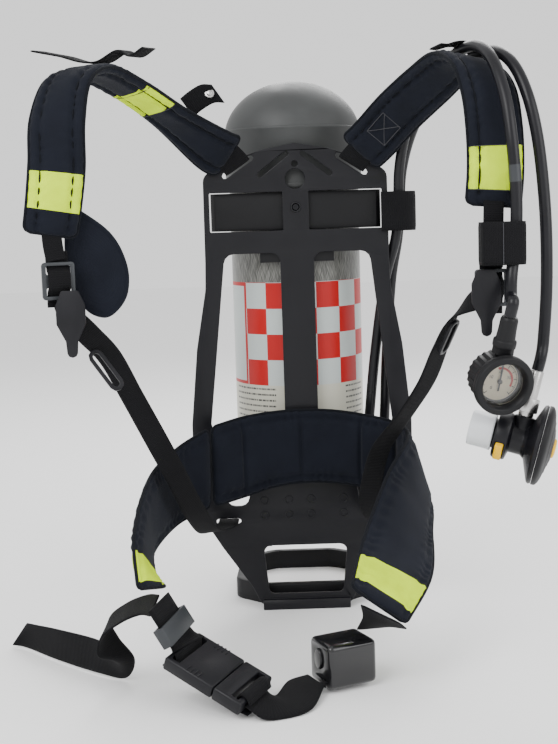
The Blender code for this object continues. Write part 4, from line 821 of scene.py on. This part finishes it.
# ---- plate, base and cylinder --------------------------------------------------------------------
def hard_pieces():
    refined("backplate", 0.0009, 3, flatten=False)
    refined("base_bumper", 0.002, 3, flatten=False)
    for node in ("cylinder_cradle", "reducer_bracket", "band_cam_frame", "band_cam_lever"):
        refined(node, 0.0005)
    for node in ("valve_body", "reducer_body", "relief_valve"):
        refined(node, 0.0004)
    for node in ("gauge_hose_ferrule", "supply_hose_ferrule", "coupling_plug"):
        refined(node, 0.0005)
    for node in ("valve_handwheel", "reducer_hand_nut", "coupling_sleeve"):
        refined(node, 0.0007)
    for side in ("left", "right"):
        refined("strap_adjuster_" + side, 0.0009, 3)
        refined("grip_tab_" + side, 0.0006)
        refined("pull_ring_" + side, 0.0008, 3)
    for node in ("buckle_female", "buckle_male"):
        refined(node, 0.0009, 3)
    refined("webbing_keeper", 0.0005)
    refined("belt_adjuster_body", 0.001, 3)
    refined("belt_adjuster_button", 0.0008, 3)
    refined("demand_valve_body", 0.0007, 3)
    for node in ("release_button_lower", "release_button_upper"):
        refined(node, 0.0005)


def moulded_ring(name, place, radius, thick, finish=None, body="pack", slot="nylon"):
    bpy.ops.object.select_all(action="DESELECT")
    bpy.ops.mesh.primitive_torus_add(
        major_radius=radius, minor_radius=thick, major_segments=48, minor_segments=12
    )
    piece = bpy.context.object
    piece.name = name
    piece.matrix_world = place
    bpy.ops.object.transform_apply(location=True, rotation=True, scale=True)
    return dressed(piece, finish or FINISH["nylon"], None, body, slot)


def plate_details():
    """Countersink and screw of the band, and the lugs that the waist belt is pressed onto."""
    facing = Matrix.Rotation(math.pi / 2, 4, "X")
    front = -0.0001
    moulded_ring("screw_rim", Matrix.Translation((0, front, 0.4755)) @ facing, 0.0052, 0.0011)
    screw = lathe(
        "band_screw",
        [
            (0.0, 0.0016), (0.0016, 0.0016), (0.0018, 0.0022), (0.0032, 0.002), (0.0038, 0.0008),
            (0.0038, -0.003), (0.0, -0.003),
        ],
        Matrix.Translation((0, 0.001, 0.4755)) @ facing,
        48,
    )
    dressed(screw, FINISH["nylon"], None, "pack", "nylon")
    k = 0
    for x in (-0.072, -0.047, -0.018, 0.008, 0.047, 0.0735):
        for z in (0.1325, 0.1145):
            if abs(abs(x) - 0.072) < 0.003:
                continue
            k += 1
            at = Matrix.Translation((x, front, z)) @ facing
            moulded_ring(f"belt_lug_{k}", at, 0.0044, 0.0008)


def cylinder_pieces():
    upright = Matrix.Translation((0, CYL_Y, 0))
    profile = arc(CYL_R, 0.56, 0.057, 90, 0, 28)
    profile += arc(CYL_R, 0.165, 0.058, 0, -77.5, 24)
    profile += [(0.0165, 0.103), (0.017, 0.1), (0.0128, 0.1)]
    shell = lathe("cylinder", profile, upright, 128)
    dressed(shell, FINISH["composite"], "cylinder_shell", smooth=60)
    outer = arc(0.0825, 0.56, 0.066, 90, 8, 30)
    outer += [(0.0826, 0.5688), (0.083, 0.568), (0.083, 0.5662), (0.0825, 0.5655)]
    outer += [(0.0825, 0.505), (0.0832, 0.504), (0.0838, 0.503), (0.0838, 0.499)]
    outer += [(0.0834, 0.4981), (0.08, 0.498), (0.0793, 0.499), (0.0793, 0.56)]
    boot = lathe("cylinder_cap", outer, upright, 128)
    dressed(boot, FINISH["boot_rubber"], "cylinder_boot", smooth=50)


def cylinder_band():
    """The band again, drawn a little wider where it crosses the plate's windows."""
    band = refined("cylinder_band", 0.0004, finish=FINISH["rubber"])
    for vert in band.data.vertices:
        vert.co.z = 0.4715 + (vert.co.z - 0.4715) * 1.08
        if vert.co.y < 0.03:
            vert.co.x *= 1.03


# ---- gauge and demand valve ----------------------------------------------------------------------
def gauge_pieces():
    place = gauge_place()
    refined("gauge_case", 0.0004)
    stem_at = along_z(GAUGE_AT, GAUGE_HOSE_END - GAUGE_AT)
    reach = (GAUGE_HOSE_END - GAUGE_AT).length
    profile = [(0.0, reach), (0.0074, reach), (0.008, reach - 0.0008), (0.0087, reach - 0.003)]
    profile += [(0.009, 0.05), (0.0095, 0.044), (0.0097, 0.042), (0.0112, 0.041)]
    profile += [(0.0116, 0.04), (0.0116, 0.035), (0.0112, 0.034), (0.0106, 0.033)]
    profile += [(0.0108, 0.0275), (0.0106, 0.027), (0.0, 0.027)]
    dressed(lathe("gauge_stem_piece", profile, stem_at, 64), FINISH["rubber"], "gauge_stem")
    profile = [(0.0284, 0.0182), (0.0292, 0.0178), (0.0299, 0.0166), (0.0301, 0.015)]
    profile += [(0.0301, 0.0135), (0.0297, 0.0131), (0.0297, 0.0126), (0.0301, 0.0122)]
    profile += [(0.03, 0.0095), (0.0294, 0.0082), (0.028, 0.0074), (0.0218, 0.0073)]
    profile += [(0.0218, 0.014), (0.0222, 0.0152), (0.0234, 0.0174), (0.024, 0.0181)]
    profile += [(0.0248, 0.0184), (0.0284, 0.0182)]
    dressed(lathe("gauge_rim", profile, place, 128), FINISH["rubber"], "gauge_bezel")
    bpy.ops.object.select_all(action="DESELECT")
    bpy.ops.mesh.primitive_circle_add(vertices=96, radius=0.0212, fill_type="NGON")
    dial = bpy.context.object
    dial.name = "dial"
    layer = dial.data.uv_layers.active or dial.data.uv_layers.new(name="UVMap")
    for loop in dial.data.loops:
        co = dial.data.vertices[loop.vertex_index].co
        layer.data[loop.index].uv = (co.x, co.y)
    bpy.ops.object.mode_set(mode="EDIT")
    bpy.ops.mesh.select_all(action="SELECT")
    bpy.ops.mesh.extrude_region_move(TRANSFORM_OT_translate={"value": (0, 0, -0.001)})
    bpy.ops.mesh.select_all(action="SELECT")
    bpy.ops.mesh.normals_make_consistent(inside=False)
    bpy.ops.object.mode_set(mode="OBJECT")
    dial.matrix_world = place @ Matrix.Translation((0, 0, 0.0011))
    bpy.ops.object.transform_apply(location=True, rotation=True, scale=True)
    dressed(dial, FINISH["dial_face"], "gauge_dial", smooth=0)
    for text, turn in (("0", 135), ("10", 67), ("20", 0), ("30", -67)):
        away = math.radians(turn)
        bpy.ops.object.text_add()
        figure = bpy.context.object
        figure.data.body = text
        figure.data.size = 0.0046
        figure.data.align_x = "CENTER"
        figure.data.align_y = "CENTER"
        figure.data.extrude = 0.00005
        at = (0.01 * math.cos(away), 0.01 * math.sin(away), 0.0013)
        figure.matrix_world = place @ Matrix.Translation(at) @ Matrix.Rotation(-math.pi / 2, 4, "Z")
        choose(figure)
        bpy.ops.object.convert(target="MESH")
        figure = bpy.context.object
        figure.name = "dial_figure_" + text
        bpy.ops.object.transform_apply(location=True, rotation=True, scale=True)
        dressed(figure, FINISH["needle"], None, "gauge", "needle", smooth=0)
    refined("gauge_needle", 0.0002)
    glass = [(0.0, 0.0102), (0.018, 0.01), (0.0211, 0.0096), (0.0211, 0.0086), (0.0, 0.0086)]
    dressed(lathe("gauge_glass", glass, place, 96), FINISH["lens"], "gauge_lens", smooth=60)


def demand_valve_pieces():
    profile = [(0.0108, 0.0128), (0.0116, 0.0131), (0.015, 0.0124), (0.017, 0.0117)]
    profile += [(0.018, 0.0119), (0.0192, 0.0112), (0.024, 0.0102), (0.0252, 0.0104)]
    profile += [(0.0264, 0.0096), (0.033, 0.0082), (0.0372, 0.0066), (0.0398, 0.0048)]
    profile += [(0.0405, 0.0034), (0.0405, 0.0008), (0.0402, 0.0003), (0.038, 0.0003)]
    profile += [(0.037, 0.003), (0.033, 0.0056), (0.0108, 0.01), (0.0108, 0.0128)]
    cover = lathe("diaphragm_cover", profile, DEMAND_PLACE, 128)
    dressed(cover, FINISH["rubber"], "demand_valve_cover", smooth=50)
    profile = [(0.0, 0.016), (0.005, 0.0159), (0.008, 0.0154), (0.0094, 0.0147)]
    profile += [(0.01, 0.0136), (0.01, 0.005), (0.0, 0.005)]
    button = lathe("purge_button_piece", profile, DEMAND_PLACE, 64)
    dressed(button, FINISH["yellow_plastic"], "purge_button", smooth=50)
    profile = [(0.0178, -0.0472), (0.0182, -0.0476), (0.0182, -0.05), (0.0178, -0.0504)]
    profile += [(0.0178, -0.0696), (0.0174, -0.0708), (0.0164, -0.0715), (0.0, -0.0715)]
    profile += [(0.0, -0.07), (0.015, -0.07), (0.016, -0.0692), (0.016, -0.0472)]
    profile += [(0.0178, -0.0472)]
    cap = lathe("outlet_cap", profile, DEMAND_PLACE, 96)
    dressed(cap, FINISH["milky_cap"], "connector_cap", smooth=50)
    lip = DEMAND_PLACE @ Matrix.Translation((0, 0, -0.002))
    moulded_ring("flange_bead", lip, 0.0398, 0.0008, FINISH["nylon"], "demand_valve", "nylon")


# ---- hoses ---------------------------------------------------------------------------------------
def hoses():
    lead = 0.014
    way = (GAUGE_HOSE_END - GAUGE_AT).normalized()
    start = Vector((0.06, CYL_Y, VALVE_Z)) + GAUGE_PORT_WAY * 0.0433
    end = GAUGE_HOSE_END + way * 0.0012
    route = [start, start + GAUGE_PORT_WAY * lead, *GAUGE_HOSE_ROUTE, end + way * lead, end]
    line = smooth_path(route, 220)
    hose = tube("gauge_hose_piece", line, HOSE_D / 2, FINISH["hose_rubber"], rings=6)
    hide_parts("gauge_hose")
    run_length(line)
    worn = [p for p in line if abs(p.z - 0.5) < 0.0105 and p.y < -0.2]
    tube("worn_sleeve", worn, HOSE_D / 2 + 0.0002, FINISH["grey_plastic"], rings=6)
    start = Vector((0.08, CYL_Y, VALVE_Z)) + SUPPLY_PORT_WAY * 0.0433
    end = supply_place() @ Vector((0, 0, 0.0716))
    lead_end = supply_place() @ Vector((0, 0, 0.0716 + lead))
    route = [start, start + SUPPLY_PORT_WAY * lead, *SUPPLY_HOSE_ROUTE, lead_end, end]
    line = smooth_path(route, 220)
    hose = tube("supply_hose_piece", line, HOSE_D / 2, FINISH["hose_rubber"], rings=6)
    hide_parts("supply_hose")
    with_valve = ["coupling_plug_piece", "coupling_sleeve_piece", "demand_valve_body_piece"]
    with_valve += ["diaphragm_cover", "purge_button_piece", "outlet_cap"]
    run_length(line)


# ---- harness -------------------------------------------------------------------------------------
def face_line(one, other, middle, share, lift, first, last):
    """Points on a strap's outer face, at a share of its half width from the middle."""
    made = []
    for i in range(first, last):
        wide = (one[i] - other[i]) / 2
        out = direction(middle, i).cross(wide.normalized()).normalized()
        made.append(middle[i] + wide * share + out * lift)
    return made


def shoulder(side, middle, sides, anchor, anchor_side, end, end_side, yellow, back_only):
    name = "shoulder_pad_" + side
    upper, lower = edges_of(middle, sides, 0.0265)
    _, one, other, centre = pad(
        name + "_piece",
        upper,
        lower,
        PAD_T,
        grooves=(-0.6, 0.6),
        yellow=yellow,
        back_only=back_only,
        node=name,
    )
    lengths = run_of(centre)
    for k, groove in enumerate((-0.6, 0.6)):
        line = face_line(one, other, centre, groove, PAD_T * 0.235, 5, len(centre) - 5)
        tube(f"{name}_piping_{k}", line, 0.0011, BINDING)
        line = face_line(one, other, centre, groove, -PAD_T * 0.17, 5, len(centre) - 5)
        tube(f"{name}_under_piping_{k}", line, 0.0011, BINDING)
    for k, at in enumerate([edge for span in (*yellow, *back_only) for edge in span]):
        i = min(range(len(lengths)), key=lambda n: abs(lengths[n] - at))
        out = direction(centre, i).cross((one[i] - other[i]).normalized()).normalized()
        across = [one[i].lerp(
            other[i], t / 8,
        ) + out * PAD_T * (0.5 - 0.3 * abs(t / 4 - 1) ** 4) for t in range(9)]
        stitched(f"{name}_hem_{k}", across, 0.003)
    box_stitch(name + "_box", one, other, centre, lengths, 0.03, 0.062, -PAD_T * 0.47)
    one, other = edges_of(anchor, [anchor_side] * len(anchor), 0.0165)
    dressed(
        strap(name + "_anchor", one, other, count=30), FINISH["webbing"], None, "pack", "webbing",
        smooth=0,
    )
    one, other = edges_of(end, [end_side] * len(end), 0.01)
    dressed(
        strap(name + "_tail", one, other, count=40), FINISH["webbing"], None, "pack", "webbing", smooth=0,
    )


def box_stitch(name, one, other, centre, lengths, start, end, lift):
    """A sewn box with a cross in it, on one face of a pad."""

    def spot(along, share):
        i = min(range(len(lengths)), key=lambda n: abs(lengths[n] - along))
        wide = (one[i] - other[i]) / 2
        out = direction(centre, i).cross(wide.normalized()).normalized()
        return centre[i] + wide * share + out * lift

    def side(a, b):
        return [spot(a[0] + (b[0] - a[0]) * t / 12, a[1] + (b[1] - a[1]) * t / 12) for t in range(13)]

    corners = [(start, -0.48), (end, -0.48), (end, 0.48), (start, 0.48)]
    runs = [side(corners[k], corners[(k + 1) % 4]) for k in range(4)]
    runs += [side(corners[0], corners[2]), side(corners[1], corners[3])]
    for k, run in enumerate(runs):
        stitched(f"{name}_{k}", run, 0.003)


def zigzag(name, upper, lower, start, end, lift=0.0013, count=160):
    """A wide zigzag of thread down the middle of a strap, from one length to another."""
    one, other, middle = paired(upper, lower, count)
    lengths = run_of(middle)
    span = [i for i in range(count) if start <= lengths[i] <= end]
    made = []
    for k, i in enumerate(span):
        wide = (one[i] - other[i]).normalized()
        out = direction(middle, i).cross(wide).normalized()
        made.append(middle[i] + wide * (0.0045 if k % 2 else -0.0045) + out * lift)
    if len(made) > 2:
        tube(name, made, 0.0004, THREAD)


def soft_harness():
    left_end = [(0.1912, -0.215, 0.478), (0.19, -0.2188, 0.46), (0.1885, -0.2205, 0.4095)]
    right_end = [(-0.244, -0.2208, 0.462), (-0.243, -0.2212, 0.445), (-0.2405, -0.2212, 0.4295)]
    shoulder(
        "left", PAD_LEFT, PAD_LEFT_SIDE, [Vector(p) for p in ANCHOR_ROUTE], (0.836, 0.0, -0.549),
        left_end, (1, 0, 0), ((0.313, 0.356),), ((0.095, 0.133),),
    )
    shoulder(
        "right", PAD_RIGHT, PAD_RIGHT_SIDE, mirrored(ANCHOR_ROUTE), (-0.836, 0.0, -0.549),
        right_end, (-0.9, -0.43, 0), ((0.352, 0.389),), ((0.108, 0.15),),
    )
    for side, middle, sides in (
        ("left", LOWER_LEFT, LOWER_LEFT_SIDE),
        ("right", LOWER_RIGHT, LOWER_RIGHT_SIDE),
    ):
        one, other = edges_of(middle, sides, 0.012)
        name = "lower_webbing_" + side
        dressed(strap(name + "_piece", one, other, count=170), FINISH["webbing"], name, smooth=0)
        zigzag(name + "_stitches", one, other, 0.02, 0.075)
    lumbar_seams = (0.0405, 0.111, 0.183)
    pad(
        "lumbar_pad_piece", LUMBAR_UPPER, LUMBAR_LOWER, 0.014, grooves=(0.8, -0.82),
        seams=lumbar_seams, node="lumbar_pad",
    )
    pad(
        "hip_pad_left_piece", HIP_LEFT_UPPER, HIP_LEFT_LOWER, 0.012, grooves=(0.78, -0.78),
        yellow=((0.215, 0.255),), node="hip_pad_left",
    )
    pad(
        "hip_pad_right_piece", HIP_RIGHT_UPPER, HIP_RIGHT_LOWER, 0.012, grooves=(0.78, -0.78),
        yellow=((0.215, 0.25),), node="hip_pad_right",
    )
    adjuster_webbing("left", (0.187, -0.2205, 0.3895), (1, 0, 0))
    adjuster_webbing("right", (-0.2392, -0.2205, 0.4095), (1, 0.45, 0))
    side_pouch()
    belt_webbing()
    loops_and_flaps()


def adjuster_webbing(side, at, wide):
    """The strap's webbing, threaded over the middle bar of its adjuster."""
    place = frame_at(at, wide, (0, -1, 0))
    path = [(0.029, -0.0036), (0.02, -0.0037), (0.0108, -0.0006), (0.0065, 0.004), (0.0, 0.0048)]
    path += [(-0.0065, 0.004), (-0.0108, -0.0006), (-0.02, -0.0037), (-0.026, -0.004)]
    one = [place @ Vector((0.0112, y, z)) for y, z in path]
    other = [place @ Vector((-0.0112, y, z)) for y, z in path]
    piece = strap(f"adjuster_webbing_{side}", one, other, thick=0.0018, count=70, ripple=0.0)
    dressed(piece, FINISH["webbing"], None, "pack", "webbing", smooth=0)


def side_pouch():
    """Soft D-shaped panel, fullest in its middle, with a stitched margin."""
    closed = [(x, 0.0, z) for x, z in (*POUCH, POUCH[0])]
    edge = [Vector((p.x, -0.1965, p.z)) for p in smooth_path(closed, 73)[:-1]]
    middle = sum(edge, Vector()) / len(edge)
    rise = (
        (1.0, 0.1), (0.985, 0.45), (0.95, 0.62), (0.9, 0.42), (0.86, 0.62), (0.72, 0.9), (0.5, 1.0),
        (0.25, 1.02), (0.04, 1.02),
    )
    rows = []
    for share, high in rise:
        rows.append([middle + (p - middle) * share + Vector((0, -0.004 * high, 0)) for p in edge])
    for share, high in rise[::-1]:
        rows.append([middle + (p - middle) * share + Vector((0, 0.004 * high, 0)) for p in edge])
    lengths = [0.004 * i for i in range(len(rows))]
    count = len(rise)
    order = rows[count - 1 :: -1] + rows[count * 2 - 1 : count - 1 : -1]
    piece = from_rows("side_panel_piece", order, lengths)
    dressed(piece, FINISH["pad_cloth"], "side_panel", smooth=0)


def belt_webbing():
    place = frame_at((-0.1345, -0.279, 0.0735), (0.5, -0.06, -0.86), (0.72, -0.35, 0.55))
    turn = place.to_3x3()
    down, wide = turn @ Vector((1, 0, 0)), turn @ Vector((0, 1, 0))
    keeper = place.translation
    one_end, other_end = BUCKLE_ENDS
    buckle = frame_at((one_end + other_end) / 2, other_end - one_end, BUCKLE_UP)
    buckle_wide = buckle.to_3x3() @ Vector((0, 1, 0))
    middle = [
        keeper - down * 0.029, keeper - down * 0.012, keeper + down * 0.013,
        buckle @ Vector((-0.038, 0, 0.0108)),
    ]
    one, other = edges_of(middle, [wide, wide, wide, buckle_wide], 0.0225)
    piece = strap("waist_webbing_right_piece", one, other, count=50)
    dressed(piece, FINISH["webbing"], "waist_webbing_right", smooth=0)
    middle = [(0.065, -0.292, 0.084), (0.07, -0.276, 0.07), (0.066, -0.25, 0.057)]
    sides = [(0.75, 0.14, -0.65), (0.7, 0.45, -0.55), (0.45, 0.8, -0.35)]
    one, other = edges_of(middle, sides, 0.022)
    piece = strap("waist_webbing_left_piece", one, other, count=40)
    dressed(piece, FINISH["webbing"], "waist_webbing_left", smooth=0)
    buckle_webbing(buckle)
    end = Matrix.Translation((0.03, -0.252, 0.0265)) @ Matrix.Rotation(math.radians(25.5), 4, "Z")
    middle = [
        buckle @ Vector((0.0448, 0, 0)),
        buckle @ Vector((0.058, 0, -0.001)),
        Vector((-0.022, -0.312, 0.006)),
        end @ Vector((-0.042, 0, -0.0175)),
        end @ Vector((-0.0305, 0, -0.0175)),
    ]
    last = end.to_3x3() @ Vector((0, 1, 0))
    one, other = edges_of(middle, [buckle_wide, buckle_wide, buckle_wide.lerp(last, 0.5), last, last], 0.02)
    piece = strap("waist_webbing_middle_piece", one, other, count=60, ripple=0.0001)
    piece.data.materials.append(FINISH["webbing"])
    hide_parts("waist_webbing_middle")
    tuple(middle[1])
    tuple(middle[3])
    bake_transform(piece)
    tail = strap("webbing_tail_piece", TAIL_UPPER, TAIL_LOWER, count=200, across=12, ripple=0.0003)
    dressed(tail, FINISH["webbing"], "webbing_tail", smooth=0)
    one, other, centre = paired(TAIL_UPPER, TAIL_LOWER, 200)
    width = sum((a - b).length for a, b in zip(one, other)) / 200
    run_length(centre)


def buckle_webbing(buckle):
    """Webbing turned round the end bar of each half of the buckle, and the grip ribs."""
    female = [(-0.038, 0.0108), (-0.0356, 0.0045), (-0.0352, -0.0045), (-0.04, -0.0092), (-0.049, -0.0092)]
    male = [(0.05, -0.008), (0.04, -0.0092), (0.0352, -0.0045), (0.035, 0.0045)]
    male += [(0.039, 0.009), (0.045, 0.0082), (0.049, 0.003)]
    for name, path, body, half in (
        ("buckle_webbing_female", female, "pack", 0.0215),
        ("buckle_webbing_male", male, "buckle_male", 0.0195),
    ):
        one = [buckle @ Vector((x, half, z)) for x, z in path]
        other = [buckle @ Vector((x, -half, z)) for x, z in path]
        piece = strap(name, one, other, thick=0.0018, count=60, ripple=0.0)
        dressed(piece, FINISH["webbing"], None, body, "webbing", smooth=0)
    for k in range(4):
        for side in (1, -1):
            bpy.ops.object.select_all(action="DESELECT")
            bpy.ops.mesh.primitive_cube_add(size=1.0)
            rib = bpy.context.object
            rib.name = f"buckle_rib_{k}_{'a' if side > 0 else 'b'}"
            at = Vector((-0.02 + 0.0045 * k, side * 0.024, 0.0073))
            rib.matrix_world = buckle @ Matrix.Translation(at) @ Matrix.Diagonal((
                0.0018, 0.008, 0.001, 1.0,
            ))
            bpy.ops.object.transform_apply(location=True, rotation=True, scale=True)
            soften(rib, 0.0004)
            dressed(rib, FINISH["nylon"], None, "pack", "nylon")


def loops_and_flaps():
    one = [(x, y, 0.49) for x, y in PLATE_LOOP]
    other = [(x, y, 0.445) for x, y in PLATE_LOOP]
    piece = strap("hose_loop_on_plate", one, other, count=90, ripple=0.0001)
    dressed(piece, FINISH["webbing"], "hose_keeper_plate", smooth=0)
    corners = [(0.1764, -0.2345), (0.1764, -0.219), (0.18, -0.2159), (0.213, -0.2159), (0.2182, -0.2205)]
    corners += [
        (0.2186, -0.227), (0.2182, -0.233), (0.213, -0.2376), (0.196, -0.2377), (0.18, -0.2376),
        (0.1764, -0.2345),
    ]
    one = [(x, y, 0.454) for x, y in corners]
    other = [(x, y, 0.412) for x, y in corners]
    piece = strap("hose_loop_in_front", one, other, count=121, ripple=0.0, closed=True)
    dressed(piece, FINISH["webbing"], "hose_keeper_front", smooth=0)
    stitched(
        "hose_loop_seam", [(0.196, -0.239, 0.453), (0.196, -0.239, 0.433), (0.196, -0.239, 0.413)],
        0.0026,
    )
    at = Vector((0.166, -0.12, 0.6175))
    run = Vector((0.44, -0.89, 0.13)).normalized()
    wide = Vector((0.84, 0.36, -0.4))
    wide = (wide - run * run.dot(wide)).normalized()
    out = run.cross(wide)
    arch = [(-0.025, 0.0085), (-0.017, 0.012), (-0.0075, 0.0195), (0.004, 0.0245)]
    arch += [(0.02, 0.0245), (0.03, 0.019), (0.0345, 0.011), (0.032, 0.002)]
    path = [at + wide * a + out * b for a, b in arch]
    piece = strap(
        "hose_loop_on_strap", [p + run * 0.0115 for p in path], [p - run * 0.0115 for p in path],
        count=80, ripple=0.0002,
    )
    dressed(piece, FINISH["webbing"], "hose_keeper_top", smooth=0)
    path = [
        (-0.256, -0.168, 0.637), (-0.23, -0.16, 0.632), (-0.212, -0.15, 0.6275), (-0.195, -0.14, 0.6285),
    ]
    path += [(-0.176, -0.13, 0.64), (-0.164, -0.124, 0.635), (-0.15, -0.118, 0.644)]
    flap("open_flap", path, Vector((0.35, 0.85, 0.05)).normalized() * 0.015, "strap_flap")
    path = [
        (-0.118, -0.04, 0.588), (-0.108, -0.037, 0.596), (-0.095, -0.035, 0.603), (-0.083, -0.033, 0.603),
    ]
    flap("stud_tab", path, Vector((0.55, 0.25, -0.8)).normalized() * 0.0125, "snap_tab")
    stud_at = frame_at((-0.0925, -0.0352, 0.6032), (1, 0, 0), (0.0, -0.98, 0.3))
    profile = [
        (0.0, 0.0034), (0.0024, 0.0034), (0.003, 0.003), (0.0034, 0.0018), (0.005, 0.0016),
        (0.0054, 0.001), (0.0054, -0.001), (0.0, -0.001),
    ]
    dressed(lathe("press_stud", profile, stud_at, 48), FINISH["steel"], None, "pack", "steel")


def flap(name, path, half, node):
    middle = [Vector(p) for p in path]
    one, other = [p + half for p in middle], [p - half for p in middle]
    piece = strap(name, one, other, count=70)
    dressed(piece, FINISH["webbing"], node, smooth=0)
    line = smooth_path(middle, 70)
    run_length(line)


# ---- floor, light and background -----------------------------------------------------------------
def studio():
    bpy.ops.object.select_all(action="DESELECT")
    bpy.ops.mesh.primitive_plane_add(size=14, location=(0, 0, 0))
    floor = bpy.context.object
    floor.name = "floor"
    made, _, shader = new_finish("pale_floor")
    shader.inputs["Base Color"].default_value = (0.93, 0.93, 0.93, 1)
    shader.inputs["Roughness"].default_value = 0.7
    floor.data.materials.append(made)
    world = bpy.data.worlds.new("studio")
    world.use_nodes = True
    world.node_tree.nodes["Background"].inputs[0].default_value = (1, 1, 1, 1)
    world.node_tree.nodes["Background"].inputs[1].default_value = 1.25
    scene.world = world
    for name, place, aim, size, power in (
        ("key_light", (-1.1, -1.5, 1.7), (0, 0, 0.3), 1.2, 34.0),
        ("fill_light", (1.4, -1.2, 1.0), (0, 0, 0.3), 1.2, 16.0),
        ("back_light", (0.3, 1.4, 1.6), (0, 0, 0.3), 1.2, 24.0),
    ):
        lamp = bpy.data.lights.new(name, "AREA")
        lamp.size = size
        lamp.energy = power
        made = bpy.data.objects.new(name, lamp)
        scene.collection.objects.link(made)
        toward = Vector(aim) - Vector(place)
        made.matrix_world = Matrix.Translation(place) @ toward.to_track_quat("-Z", "Y").to_matrix().to_4x4()


studio()
hard_pieces()
plate_details()
cylinder_pieces()
gauge_pieces()
demand_valve_pieces()
hoses()
soft_harness()
cylinder_band()
